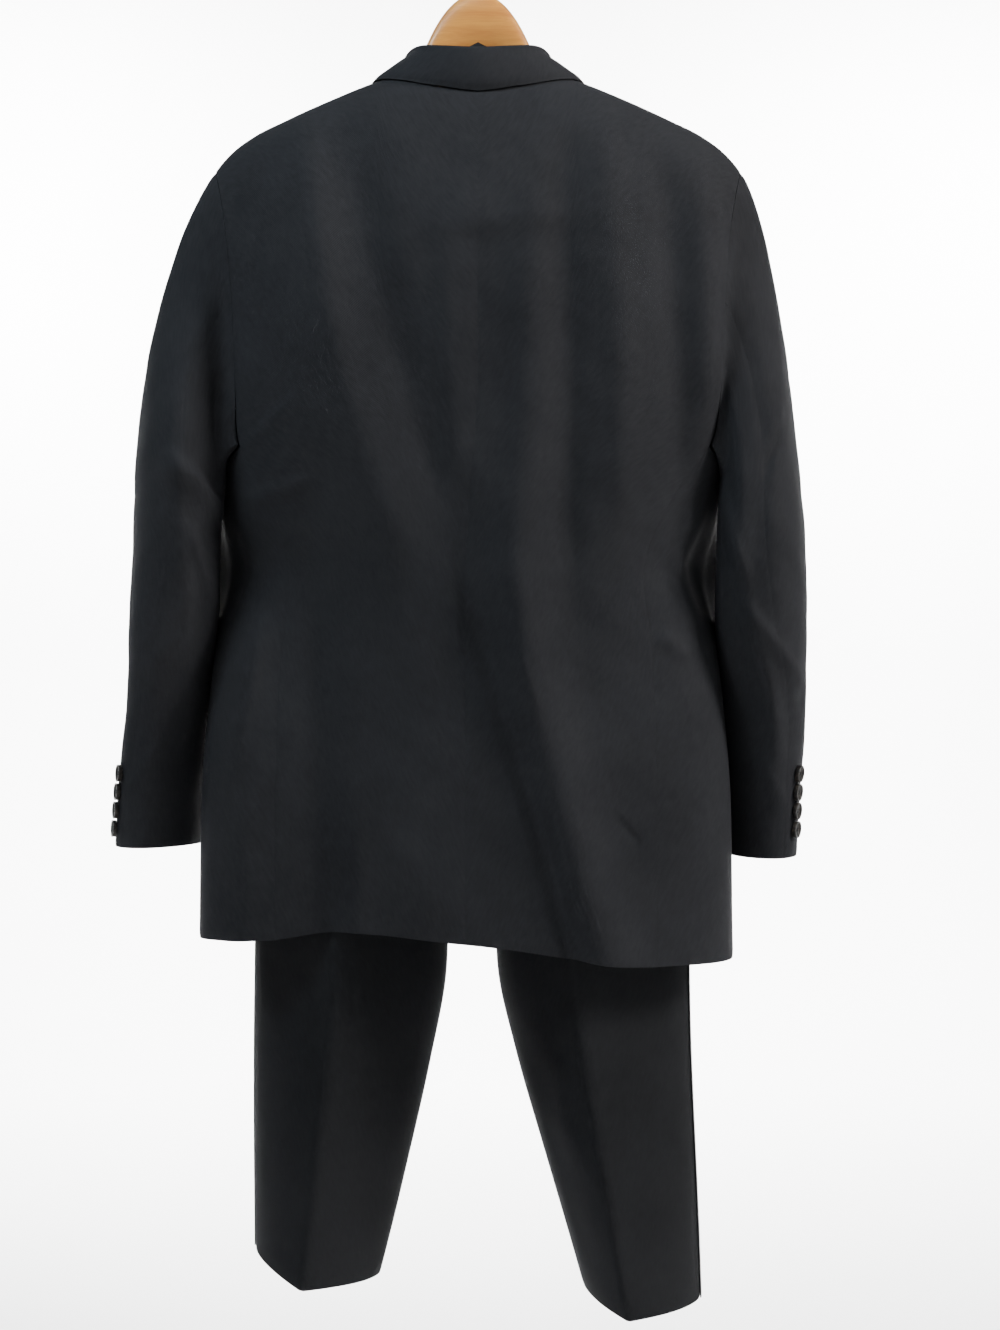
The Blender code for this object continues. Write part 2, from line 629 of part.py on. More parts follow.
# ---------------------------------------------------------------- sleeves
def armhole(side):
    """Points, outward directions and continuing directions round the armhole, from its top."""
    back = back_surface(side)
    front = front_surface(side)
    under = side_surface(side)
    heights = np.linspace(2.0, UNDERARM_RISE, 300)
    parts = []
    for surface, keep in ((back, heights), (front, heights[::-1])):
        full = np.ones_like(keep)
        across, up = slopes_of(surface, full, keep)
        normal = outward(surface, full, keep, body_axis)
        onward = unit(across - up * np.sum(across * up, axis=-1, keepdims=True))
        parts.append((surface(full, keep), normal, onward))
    u = np.linspace(0.02, 0.98, 60)
    top = np.ones_like(u)
    across, up = slopes_of(under, u, top)
    onward = unit(up - across * np.sum(across * up, axis=-1, keepdims=True))
    middle = (under(u, top), outward(under, u, top, body_axis), onward)
    joined = [np.concatenate((parts[0][k], middle[k], parts[1][k])) for k in range(3)]
    lengths = np.linalg.norm(np.diff(joined[0], axis=0), axis=1)
    gone = np.concatenate(([0.0], np.cumsum(lengths)))
    return gone / gone[-1] * 360.0, joined


def sleeve_tube(rows, side, angle, level):
    """Outer point of the sleeve below its head, at an angle in degrees and a level."""
    turned = np.radians(read(rows, "level", "turn", level))
    out = read(rows, "level", "out", level)
    fore = read(rows, "level", "fore", level)
    wide = read(rows, "level", "half_width", level)
    deep = read(rows, "level", "half_depth", level)
    round_it = np.radians(angle)
    x = out + wide * np.cos(round_it) * np.cos(turned) + deep * np.sin(round_it) * np.sin(turned)
    y = fore - wide * np.cos(round_it) * np.sin(turned) + deep * np.sin(round_it) * np.cos(turned)
    return stack(side * x, y, level)


def sleeve_surface(side):
    """Surface of a whole sleeve: u in degrees round it, v 0 to 1 the head, 1 to 2 below."""
    rows = LEFT_SLEEVE if side == LEFT else RIGHT_SLEEVE
    fold_rows = LEFT_SLEEVE_FOLDS if side == LEFT else RIGHT_SLEEVE_FOLDS
    stations, (ring, normals, onwards) = armhole(side)
    first = rows[0].level
    last = rows[-1].level

    def at(values, angle):
        wrapped = np.mod(angle, 360.0)
        return np.stack([np.interp(wrapped, stations, values[:, k]) for k in range(3)], axis=-1)

    def centre(level):
        out = read(rows, "level", "out", level)
        return stack(side * out, read(rows, "level", "fore", level), level)

    def point(u, v):
        from_underarm = np.abs(np.mod(u, 360.0) - 180.0)
        tuck = 1.0 - ease((from_underarm - UNDERARM_TUCK) / UNDERARM_BLEND)[..., None]
        lead = unit(at(onwards, u) * (1.0 - tuck) + at(normals, u) * tuck)
        start = at(ring, u) + lead * HEAD_GAP
        end = sleeve_tube(rows, side, u, first)
        down = unit(sleeve_tube(rows, side, u, first - 0.01) - end)
        span = np.linalg.norm(end - start, axis=-1, keepdims=True)
        handle = start + lead * span * HEAD_START[side]
        arrive = end - down * span * HEAD_END
        t = np.minimum(v, 1.0)[..., None]
        head = start * (1 - t) ** 3 + handle * 3 * t * (1 - t) ** 2
        head = head + arrive * 3 * t ** 2 * (1 - t) + end * t ** 3
        level = first + (last - first) * (v - 1.0)
        below = sleeve_tube(rows, side, u, level)
        place = np.where((v < 1.0)[..., None], head, below)
        away = unit((place - centre(place[..., 2])) * np.array((1.0, 1.0, 0.0)))
        height = folds(fold_rows, np.mod(u, 360.0), place[..., 2]) * ease(v * 2.0)
        return place + away * height[..., None]

    def axis(points):
        middle = centre(np.minimum(points[..., 2], first))
        high = points[..., 2] > first
        middle[..., 2] = np.where(high, points[..., 2] - 0.02, points[..., 2])
        return middle

    return point, axis


def sleeve_pieces(side):
    name = NAMES[side]
    point, axis = sleeve_surface(side)
    down = np.concatenate((np.linspace(0.0, 1.0, 10), np.linspace(1.0, 2.0, 10)[1:]))
    outer = np.linspace(
        SLEEVE_FRONT_SEAM - 360.0 + SLEEVE_SEAM_GAP, SLEEVE_BACK_SEAM - SLEEVE_SEAM_GAP, 12
    )
    inner = np.linspace(
        SLEEVE_BACK_SEAM + SLEEVE_SEAM_GAP, SLEEVE_FRONT_SEAM - SLEEVE_SEAM_GAP, 10
    )
    cloth("sleeve_upper_" + name, point, outer, down, axis, WOOL)
    cloth("sleeve_under_" + name, point, inner, down, axis, WOOL)
    for k in range(CUFF_BUTTONS):
        level = CUFF_BUTTON_FIRST + k * CUFF_BUTTON_PITCH
        rows = LEFT_SLEEVE if side == LEFT else RIGHT_SLEEVE
        v = 1.0 + (level - rows[0].level) / (rows[-1].level - rows[0].level)
        add_button(
            "cuff_button_%s_%d" % (name, k + 1), point, CUFF_BUTTON_ANGLE, v, axis, CUFF_BUTTON_RADIUS
        )


def add_button(name, point, u, v, axis, radius):
    """A round button that lies on a surface, just clear of it."""
    u = np.array([float(u)])
    v = np.array([float(v)])
    normal = outward(point, u, v, axis)[0]
    across = unit(np.cross(normal, (0.0, 0.0, 1.0)))
    up = np.cross(across, normal)
    clear = LIFT + 0.5 * radius ** 2 / 0.120
    middle = point(u, v)[0] + normal * clear
    sides = 12
    rings = ((0.86, 0.0), (1.0, 0.3), (1.0, 0.8), (0.86, 1.0))
    loops = []
    for share, height in rings:
        loop = []
        for k in range(sides):
            turn = 2 * math.pi * k / sides
            spoke = across * math.cos(turn) + up * math.sin(turn)
            loop.append(middle + spoke * radius * share + normal * BUTTON_THICKNESS * height)
        loops.append(loop)
    loft(name, loops, HORN)


def loft(name, loops, finish):
    """Closed solid through rings of points, capped at both ends."""
    sides = len(loops[0])
    points = [place for loop in loops for place in loop]
    faces = [tuple(range(sides)), tuple((len(loops) - 1) * sides + k for k in range(sides))]
    for i in range(len(loops) - 1):
        for k in range(sides):
            a = i * sides + k
            b = i * sides + (k + 1) % sides
            faces.append((a, b, b + sides, a + sides))
    return mesh_object(name, points, faces, finish)


# ---------------------------------------------------------------- collar, lapels, pockets
def shoulder_level(x, y):
    """Level of the jacket's body near the shoulder line, over a place in plan."""
    crest = read(SHOULDER_LINE, "out", "level", np.abs(x))
    level = crest
    for _ in range(6):
        depth = read(BODY, "level", "back", level)
        half_width = half_width_at(level, 0.0)
        flank = (1.0 - (np.abs(x) / half_width) ** BODY_SQUARENESS) ** (1.0 / BODY_SQUARENESS)
        lean = np.clip(np.abs(y) / (depth * flank), 0.0, 1.0)
        risen = (1.0 - lean ** SHOULDER_SQUARENESS) ** (1.0 / SHOULDER_SQUARENESS)
        level = crest - SHOULDER_DROP * (1.0 - risen)
    return level


def on_shoulder(x, y):
    return stack(x, y, shoulder_level(x, y))


def clear_of_shoulder(places):
    """The places, raised where they would come too near the shoulder's cloth below them."""
    x = places[..., 0]
    y = places[..., 1]
    ground = on_shoulder(x, y)
    along_x = on_shoulder(x + STEP, y) - ground
    along_y = on_shoulder(x, y + STEP) - ground
    normal = unit(np.cross(along_x, along_y))
    gap = np.sum((places - ground) * normal, axis=-1, keepdims=True) - COLLAR_LIFT - WALL
    return places - normal * np.minimum(gap, 0.0)


def collar_section():
    """Seam, fold and fall points of the collar at each of its rows, with the rows' ways out."""
    sections = []
    for row in COLLAR:
        seam = on_shoulder(row.seam_x, row.seam_y)
        fold = np.array((row.fold_x, row.fold_y, row.fold_z))
        edge = on_shoulder(row.fall_x, row.fall_y)
        edge = clear_of_shoulder(edge)
        away = unit((edge - fold) * np.array((1.0, 1.0, 0.0)))
        lead = unit(fold - seam)
        down = np.array((0.0, 0.0, -FOLD_RADIUS))
        rolled = fold + away * FOLD_RADIUS * 1.2 + down * 1.6
        falls = [rolled + (edge - rolled) * share + away * 0.0012 for share in (0.33, 0.67)]
        sections.append(
            (
                seam + lead * 0.0010,
                (seam + fold) / 2 - away * 0.0010,
                fold - away * FOLD_RADIUS + down * 1.6,
                fold - away * FOLD_RADIUS * 0.75 + down * 0.3,
                fold,
                fold + away * FOLD_RADIUS * 0.75 + down * 0.3,
                rolled,
                falls[0],
                falls[1],
                edge,
            )
        )
    return np.array(sections)


COLLAR_STATIONS = (0.00, 0.20, 0.38, 0.44, 0.50, 0.56, 0.62, 0.75, 0.88, 1.00)
Knot = namedtuple("Knot", "at x y z")


def collar_surface():
    """u from -1 to 1 round the neck, v 0 at the neck seam, 0.5 on the fold, 1 the fall's edge."""
    sections = collar_section()
    reach = len(COLLAR) - 1

    def point(u, v):
        place = np.abs(u) * reach
        lines = []
        for k, station in enumerate(COLLAR_STATIONS):
            knots = [Knot(-1.0, -sections[1, k, 0], sections[1, k, 1], sections[1, k, 2])]
            knots += [Knot(float(i), *sections[i, k]) for i in range(len(COLLAR))]
            x = read(knots, "at", "x", place)
            y = read(knots, "at", "y", place)
            z = read(knots, "at", "z", place)
            lines.append(stack(np.sign(u) * x, y, z))
        places = blend_stations(COLLAR_STATIONS, np.stack(lines), v)
        return np.where((v > COLLAR_STATIONS[6])[..., None], clear_of_shoulder(places), places)

    return point


def blend_stations(stations, lines, v):
    """Smooth curve through lines[k] at stations[k], read at v for each point."""
    stations = np.array(stations)
    slopes = np.gradient(lines, stations, axis=0)
    first = np.clip(np.searchsorted(stations, v) - 1, 0, len(stations) - 2)
    span = (stations[first + 1] - stations[first])[..., None]
    share = (v - stations[first])[..., None] / span

    def pick(values, index):
        return np.take_along_axis(values, index[None, ..., None], axis=0)[0]

    start = pick(lines, first)
    end = pick(lines, first + 1)
    leave = pick(slopes, first) * span
    arrive = pick(slopes, first + 1) * span
    rise = share * share * (3.0 - 2.0 * share)
    curve = start + (end - start) * rise
    return curve + leave * share * (1.0 - share) ** 2 - arrive * share ** 2 * (1.0 - share)


def collar_axis(points):
    """Places inside the folded collar, between its stand and its fall."""
    sections = collar_section()
    middle = (sections[:, 1] + sections[:, 7]) / 2
    middle = np.concatenate((middle[::-1] * np.array((-1.0, 1.0, 1.0)), middle[1:]))
    flat = points.reshape(-1, 3)
    apart = np.linalg.norm(flat[:, None] - middle[None], axis=-1)
    return middle[np.argmin(apart, axis=1)].reshape(points.shape)


def lapel_surface(side):
    """u 0 on the roll line, 1 the outer edge; v 0 the button, 1 the gorge."""

    def point(u, v):
        dip = LAPEL_NOTCH - (LAPEL_TOP_INNER + LAPEL_PEAK) / 2
        top = LAPEL_TOP_INNER + (LAPEL_PEAK - LAPEL_TOP_INNER) * u + 4 * dip * u * (1 - u)
        level = LAPEL_BOTTOM + (top - LAPEL_BOTTOM) * v
        inner = read(FRONT_EDGE, "level", "out", level) - LAPEL_OVERHANG
        x = inner + read(LAPEL, "along", "width", v) * u
        return torso(x, level, FRONT, side)

    def rolled(u, v):
        place = point(u, v)
        normal = outward(point, u, v, body_axis)
        return place + normal * (LAPEL_ROLL * np.clip(1.0 - u, 0.0, 1.0) ** 2)[..., None]

    return rolled


def flap_surface(side):
    def point(u, v):
        angle = np.radians(FLAP_BACK + (FLAP_FRONT - FLAP_BACK) * u)
        level = FLAP_TOP - FLAP_SLANT * (1.0 - u) - FLAP_HEIGHT * v
        return around(angle, level, side)

    return point


def welt_surface(side):
    def point(u, v):
        x = WELT_INNER + (WELT_OUTER - WELT_INNER) * u
        return torso(x, WELT_TOP + 0.006 * u - WELT_HEIGHT * v, FRONT, side)

    return point


def trims():
    spread = np.linspace(-1.0, 1.0, 33)
    over = np.array(COLLAR_STATIONS)
    cloth("collar", collar_surface(), spread, over, collar_axis, WOOL)
    for side in (LEFT, RIGHT):
        name = NAMES[side]
        rows = np.linspace(0.0, 1.0, 13)
        cloth(
            "lapel_" + name, lapel_surface(side), np.linspace(0.0, 1.0, 6), rows, body_axis, SATIN,
            above=LAPEL_LIFT + WALL, below=LAPEL_LIFT,
        )
        cloth(
            "pocket_flap_" + name, flap_surface(side), np.linspace(0.0, 1.0, 8), (0.0, 0.5, 1.0),
            body_axis, WOOL, above=2 * LIFT + WALL, below=2 * LIFT,
        )
    cloth(
        "breast_welt", welt_surface(LEFT), np.linspace(0.0, 1.0, 5), (0.0, 1.0), body_axis, WOOL,
        above=LIFT + WALL, below=LIFT,
    )
    front = front_surface(LEFT)
    edge = edge_out(FRONT_EDGE, np.linspace(0.0, 1.0, 400), FRONT, LEFT)
    levels = body_level(edge, np.linspace(0.0, 1.0, 400), FRONT, LEFT)
    v = np.interp(FRONT_BUTTON_LEVEL, levels, np.linspace(0.0, 1.0, 400))
    width = read(FRONT_SIDE_EDGE, "level", "out", FRONT_BUTTON_LEVEL)
    inner = read(FRONT_EDGE, "level", "out", FRONT_BUTTON_LEVEL)
    add_button("front_button", front, -inner / (width - inner), v, body_axis, FRONT_BUTTON_RADIUS)


# ---------------------------------------------------------------- trousers
def leg_sway(level):
    swung = ease((SWING_TOP - level) / (SWING_TOP - SWING_BOTTOM))
    return TROUSER_SWAY + (FOOT_SWAY - TROUSER_SWAY) * swung


def trouser_axis(side):
    def axis(points):
        level = points[..., 2]
        inner = read(TROUSERS, "level", "inner", level)
        outer = read(TROUSERS, "level", "outer", level)
        return stack(side * (inner + outer) / 2 + leg_sway(level), 0.0 * level, level)

    return axis


def leg_surface(side, face):
    """u 0 at the inseam and centre seam, 1 at the outseam; v 0 the hem, 1 the waist seam."""

    def point(u, v):
        hem = TROUSER_HEM[side]
        rough = hem + (TROUSERS[0].level - hem) * v
        inner = np.maximum(read(TROUSERS, "level", "inner", rough), SEAM / 2)
        outer = read(TROUSERS, "level", "outer", rough)
        across = -np.cos(math.pi * u)
        x = (inner + outer) / 2 + (outer - inner) / 2 * across
        slope = TROUSER_HEM_SLOPE[side] * side * (x - HEM_MIDDLE)
        level = rough + slope * np.clip(1.0 - 3.0 * v, 0.0, 1.0)
        depth = read(TROUSERS, "level", "back", level)
        crease = read(TROUSERS, "level", "crease", level)
        lens = (1.0 - np.abs(across) ** crease) ** LEG_ROUNDNESS
        lens = lens * np.sign(np.sin(math.pi * u))
        corner = read(TROUSERS, "level", "corner", level)
        past = np.clip((x - (outer - corner)) / corner, 0.0, 1.0)
        seat = np.sqrt(1.0 - past ** 2) * np.where(u > 1.0, -1.0, 1.0)
        seated = ease((level - CROTCH) / RISE_BLEND)
        y = depth * (lens * (1.0 - seated) + seat * seated)
        y = y + folds(LEG_FOLDS, u, level) * np.sin(math.pi * np.clip(u, 0.0, 1.0))
        if face == FRONT:
            y = y * TROUSER_FRONT
        turned = LEG_TURN[side] * ease((TURN_TOP - level) / (TURN_TOP - TURN_BOTTOM))
        y = face * (y + SEAM / 2)
        return stack(side * x + leg_sway(level) + turned * y, y, level)

    return point


def waist_surface(side):
    """u from 0 at the centre back round the side to 1 at the centre front."""

    def point(u, v):
        radius = WAIST_HALF_DEPTH
        straight = WAIST_HALF_WIDTH - radius
        length = 2 * straight + math.pi * radius
        gone = u * length
        turn = np.clip((gone - straight) / radius, 0.0, math.pi)
        x = np.minimum(gone, straight) + radius * np.sin(turn)
        x = x - np.clip(gone - straight - math.pi * radius, 0.0, None)
        y = radius * np.cos(turn)
        return stack(side * (x + SEAM / 2) + TROUSER_SWAY, y, WAIST_TOP - WAIST_HEIGHT * v)

    return point


def stripe_surface(side):
    """A band over the outseam: u from -1 on the front to 1 on the back."""
    back = leg_surface(side, BACK)
    front = leg_surface(side, FRONT)

    def share_for(surface, reach, v):
        low = np.full_like(v, 0.6)
        high = np.ones_like(v)
        for _ in range(40):
            middle = (low + high) / 2
            deeper = np.abs(surface(middle, v)[..., 1]) > reach
            low = np.where(deeper, middle, low)
            high = np.where(deeper, high, middle)
        return (low + high) / 2

    def point(u, v):
        narrow = ease((v - STRIPE_FULL + 0.15) / 0.15)
        wide = np.where(u < 0.0, STRIPE_BEFORE, STRIPE_BEHIND)
        half = wide + (np.minimum(STRIPE_AT_WAIST, wide) - wide) * narrow
        reach = np.abs(u) * half
        on_back = back(share_for(back, reach, v), v)
        on_front = front(share_for(front, reach, v), v)
        return np.where((u >= 0.0)[..., None], on_back, on_front)

    return point


def trouser_pieces(side):
    name = NAMES[side]
    across = np.linspace(0.0, 1.0, 9)
    up = columns((0.70, 7), (0.77, 2), (0.85, 4), (1.0, 4))
    axis = trouser_axis(side)
    cloth("trouser_back_" + name, leg_surface(side, BACK), across, up, axis, WOOL)
    cloth("trouser_front_" + name, leg_surface(side, FRONT), across, up, axis, WOOL)
    over_seam = (-1.0, -0.3, 0.3, 1.0)
    cloth(
        "side_stripe_" + name, stripe_surface(side), over_seam, up, axis, SATIN,
        above=LIFT + STRIPE_THICKNESS, below=LIFT,
    )
    round_it = columns((0.30, 3), (0.485, 3), (0.515, 4), (0.70, 3), (1.0, 3))
    cloth("waistband_" + name, waist_surface(side), round_it, (0.0, 1.0), axis, WOOL)


# ---------------------------------------------------------------- hanger
def hanger_rows():
    rows = list(NECK_OF_HANGER)
    for out in ARM_STATIONS:
        crest = float(read(SHOULDER_LINE, "out", "level", out))
        top = crest - WALL * 1.12 - (2 + WOOD_DIP * (out < HALF_NECK + 0.020)) * SEAM
        share = (out - ARM_STATIONS[0]) / (ARM_STATIONS[-1] - ARM_STATIONS[0])
        thick = 0.0115 + (ARM_END_THICKNESS - 0.0115) * share
        rows.append(Wood(out, top, top - ARM_HEIGHT, thick))
    return rows


def hanger():
    rows = hanger_rows()
    mirrored = [Wood(-row.out, row.top, row.bottom, row.half_thickness) for row in rows[:0:-1]]
    loops = []
    for row in mirrored + rows:
        middle = (row.top + row.bottom) / 2
        half = (row.top - row.bottom) / 2
        turn = np.linspace(0.0, 2 * math.pi, WOOD_SIDES, endpoint=False)
        y = row.half_thickness * signed_power(np.cos(turn), 2.0 / WOOD_SQUARENESS)
        z = middle + half * signed_power(np.sin(turn), 2.0 / WOOD_SQUARENESS)
        loops.append([(row.out, float(a), float(b)) for a, b in zip(y, z)])
    loft("hanger_wood", loops, BEECH)
    top = NECK_OF_HANGER[0].top
    ferrule_bottom = top + SEAM
    loops = []
    for level, share in ((0.0, 1.0), (0.7, 1.0), (1.0, 0.75)):
        radius = FERRULE_RADIUS * share
        level = ferrule_bottom + FERRULE_HEIGHT * level
        ring = [2 * math.pi * k / 16 for k in range(16)]
        loops.append([(radius * math.cos(a), radius * math.sin(a), level) for a in ring])
    loft("hanger_ferrule", loops, CHROME)
    wire("hanger_hook", hook_route(ferrule_bottom + FERRULE_HEIGHT + SEAM), HOOK_WIRE, CHROME)
    wire("trouser_bar", bar_route(), BAR_WIRE, CHROME)
    for side in (LEFT, RIGHT):
        clip(side)
    hanger_loop()


def hook_route(start):
    """Straight shank, then a wide turn whose inside top lies on the origin."""
    centre = HOOK_WIRE - HOOK_RADIUS
    route = [(0.0, 0.0, start), (0.0, 0.0, start + 0.004)]
    first = math.radians(HOOK_START)
    last = math.radians(HOOK_END)
    join = (HOOK_RADIUS * math.cos(first), centre + HOOK_RADIUS * math.sin(first))
    for share in (0.35, 0.7):
        x = join[0] * share ** 2
        z = start + 0.004 + (join[1] - start - 0.004) * share
        route.append((x, 0.0, z))
    for k in range(21):
        turn = first + (last - first) * k / 20
        route.append((HOOK_RADIUS * math.cos(turn), 0.0, centre + HOOK_RADIUS * math.sin(turn)))
    return route


def bar_route():
    """Rod under the arms, its ends turned up into them."""
    bend = 0.006
    end_out = BAR_HALF + bend
    rows = hanger_rows()
    under = float(read(rows, "out", "bottom", end_out)) - 4 * SEAM
    half = [(end_out, 0.0, under), (end_out, 0.0, BAR_LEVEL + bend)]
    for k in range(1, 5):
        turn = math.pi / 2 * k / 4
        x = BAR_HALF + bend * math.cos(turn)
        half.append((x, 0.0, BAR_LEVEL + bend - bend * math.sin(turn)))
    return half + [(-x, y, z) for x, y, z in half[::-1]]


def wire(name, route, radius, finish):
    curve = bpy.data.curves.new(name, "CURVE")
    curve.dimensions = "3D"
    curve.bevel_depth = radius
    curve.bevel_resolution = 2
    curve.use_fill_caps = True
    spline = curve.splines.new("POLY")
    spline.points.add(len(route) - 1)
    for knot, place in zip(spline.points, route):
        knot.co = (*place, 1.0)
    return add_object(name, curve, finish)


def clip(side):
    """A bent strip over the bar, its two jaws on the waistband."""

    def point(u, v):
        x = side * CLIP_OUT + CLIP_WIDTH * (v - 0.5)
        shoulder = BAR_LEVEL - 0.0060
        half = CLIP_GAP + WALL
        top = BAR_LEVEL + BAR_WIRE + SEAM + WALL
        turn = np.clip(u, -1.0, 1.0) * math.pi / 2
        y = half * np.sin(turn)
        z = shoulder + (top - shoulder) * np.cos(turn)
        z = z - (np.abs(u) - np.clip(np.abs(u), 0.0, 1.0)) * (shoulder - CLIP_BOTTOM)
        return stack(x, y, z)

    def axis(points):
        return stack(points[..., 0], 0.0 * points[..., 1], np.minimum(points[..., 2], BAR_LEVEL - 0.006))

    path = np.array((-2.0, -1.0, -0.75, -0.5, -0.25, 0.0, 0.25, 0.5, 0.75, 1.0, 2.0))
    cloth("trouser_clip_" + NAMES[side], point, path, (0.0, 1.0), axis, CHROME)


def hanger_loop():
    """The narrow loop sewn inside the collar, just showing over its top edge."""

    def point(u, v):
        x = LOOP_HALF * u
        peak = np.clip(1.0 - np.abs(u), 0.0, 1.0) ** 1.4
        level = LOOP_ENDS + (LOOP_PEAK - LOOP_ENDS) * peak - LOOP_BAND * v
        return stack(x, LOOP_OUT - LOOP_CURVE * x ** 2, level)

    def axis(points):
        return points * np.array((1.0, 0.0, 1.0))

    cloth("hanger_loop", point, np.linspace(-1.0, 1.0, 9), (0.0, 1.0), axis, SATIN)


clear_scene()
GROUP = make_collection("Tuxedo")
for one_side in (LEFT, RIGHT):
    jacket_panels(one_side)
    sleeve_pieces(one_side)
    trouser_pieces(one_side)
trims()
hanger()
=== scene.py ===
# %% [markdown]
# # A tuxedo on its hanger
# The object is a dark wool evening suit. Its trousers are clipped under a wooden hanger, and
# its jacket hangs over them. A plain solid of every piece comes from the frame. Here each piece
# is made again as thin cloth with its creases, and every surface gets its finish.

# %% Load the frame and keep its box
import json
import math
from collections import namedtuple
from functools import partial

import bpy
import numpy as np
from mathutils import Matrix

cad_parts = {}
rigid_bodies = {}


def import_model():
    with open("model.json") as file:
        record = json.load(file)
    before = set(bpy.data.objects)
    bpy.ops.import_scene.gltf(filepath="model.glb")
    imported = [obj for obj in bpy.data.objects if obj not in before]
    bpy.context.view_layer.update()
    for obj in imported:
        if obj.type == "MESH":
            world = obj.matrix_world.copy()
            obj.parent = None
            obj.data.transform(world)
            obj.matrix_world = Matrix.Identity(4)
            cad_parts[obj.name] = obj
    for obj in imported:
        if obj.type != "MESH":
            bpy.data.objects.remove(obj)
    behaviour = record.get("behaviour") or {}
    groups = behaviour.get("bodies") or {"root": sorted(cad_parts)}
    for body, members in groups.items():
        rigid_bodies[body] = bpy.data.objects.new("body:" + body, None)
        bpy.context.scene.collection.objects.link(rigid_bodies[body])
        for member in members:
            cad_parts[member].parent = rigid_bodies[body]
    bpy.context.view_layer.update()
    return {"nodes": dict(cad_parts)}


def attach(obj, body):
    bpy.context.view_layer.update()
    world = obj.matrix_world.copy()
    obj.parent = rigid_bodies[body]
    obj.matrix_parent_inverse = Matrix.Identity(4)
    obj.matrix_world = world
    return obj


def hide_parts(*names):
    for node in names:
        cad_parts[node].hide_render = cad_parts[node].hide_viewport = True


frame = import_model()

print("nodes in the frame:", len(frame["nodes"]))

# %% [markdown]
# ## Camera
# The suit is seen straight from behind, from a metre and a half away, at the height of its
# middle. A camera with a tall frame is set level, and a small shift brings the hanger's hook
# over the right place, because shifting keeps upright lines upright and turning would not.

# %% Camera
CAMERA_DISTANCE = 1.5
CAMERA_LEVEL = -0.659
METRES_PER_PIXEL = 0.00089
FRAME_WIDE, FRAME_HIGH = 1000, 1330
SUIT_MIDDLE = 478.0  # column of the frame over which the hook stands
camera_data = bpy.data.cameras.new("camera")
camera = bpy.data.objects.new("camera", camera_data)
bpy.context.scene.collection.objects.link(camera)
camera.location = (0.0, CAMERA_DISTANCE, CAMERA_LEVEL)
camera.rotation_euler = (math.pi / 2, 0.0, math.pi)
camera_data.sensor_fit = "VERTICAL"
camera_data.angle_y = 2 * math.atan(FRAME_HIGH * METRES_PER_PIXEL / 2 / CAMERA_DISTANCE)
camera_data.shift_x = (FRAME_WIDE / 2 - SUIT_MIDDLE) / FRAME_HIGH
camera_data.clip_start = 0.05
bpy.context.scene.camera = camera
print("lens %.1f mm, shift %.3f" % (camera_data.lens, camera_data.shift_x))

# %% [markdown]
# ## Smooth tables
# A tailor's pattern is a few measurements with smooth lines between them. Each table below
# holds such measurements, and one helper reads any of them with a smooth curve. Folding,
# easing and finding a surface's outward direction are the other small helpers.

# %% Tables and curves
def table(fields, *rows):
    """Rows of measurements whose numbers are called by the names in fields."""
    Row = namedtuple("Row", fields)
    return [Row(*row) for row in rows]


def ease(share):
    """Rise smoothly from 0 to 1 as share goes from 0 to 1."""
    share = np.clip(share, 0.0, 1.0)
    return share * share * (3.0 - 2.0 * share)


def smooth_curve(stations, values, at):
    """Smooth curve through values at stations, running straight on past its ends."""
    stations = np.array(stations)
    slopes = np.gradient(values, stations, axis=0)
    first = np.clip(np.searchsorted(stations, at) - 1, 0, len(stations) - 2)
    span = stations[first + 1] - stations[first]
    share = (at - stations[first]) / span
    inside = np.clip(share, 0.0, 1.0)
    start, leave = np.choose(first, values), np.choose(first, slopes) * span
    end, arrive = np.choose(first + 1, values), np.choose(first + 1, slopes) * span
    curve = start + (end - start) * ease(inside)
    curve = curve + leave * inside * (1.0 - inside) ** 2 - arrive * inside ** 2 * (1.0 - inside)
    return curve + (share - inside) * np.where(share < 0.0, leave, arrive)


def read(rows, name, at):
    """A table's column as a smooth curve over the table's first column."""
    rows = sorted(rows)
    return smooth_curve([row[0] for row in rows], [getattr(row, name) for row in rows], at)


def columns(*parts):
    """Places from 0 to 1, evenly spaced within each part (its end, its count)."""
    places = [0.0]
    for end, count in parts:
        start = places[-1]
        places += [start + (end - start) * k / count for k in range(1, count + 1)]
    return np.array(places)


print("helpers ready; ease(0.5) =", float(ease(0.5)))

# %% Points and directions
WALL = 0.0015  # thickness of the cloth
SEAM = 0.00004  # gap between two pieces at a seam: sewn cloth closes it
LIFT = 0.0004  # gap under a piece that lies on another
STEP = 1e-4  # how far a place moves to find a slope
LEFT, RIGHT, BACK, FRONT = 1, -1, 1, -1
NAMES = {LEFT: "left", RIGHT: "right"}


def oval(share, power):
    """Height of an oval at a share of its half-width: a power of 2 is round, more is boxier."""
    return (1.0 - np.clip(share, 0.0, 1.0) ** power) ** (1.0 / power)


def signed_power(value, power):
    return np.sign(value) * np.abs(value) ** power


def stack(x, y, z):
    return np.stack(np.broadcast_arrays(x, y, z), axis=-1)


def unit(vectors):
    return vectors / np.maximum(np.linalg.norm(vectors, axis=-1, keepdims=True), 1e-12)


def slopes_of(point, u, v):
    """Directions in which a surface runs as its two places grow."""
    along_u = unit(point(u + STEP, v) - point(u - STEP, v))
    along_v = unit(point(u, v + STEP) - point(u, v - STEP))
    return along_u, along_v


def outward(point, u, v, axis):
    """Unit normals of a surface, pointing away from the axis inside it."""
    normal = unit(np.cross(*slopes_of(point, u, v)))
    away = point(u, v) - axis(point(u, v))
    return normal * np.sign(np.sum(normal * away))


print("cloth %.1f mm thick" % (WALL * 1000.0))

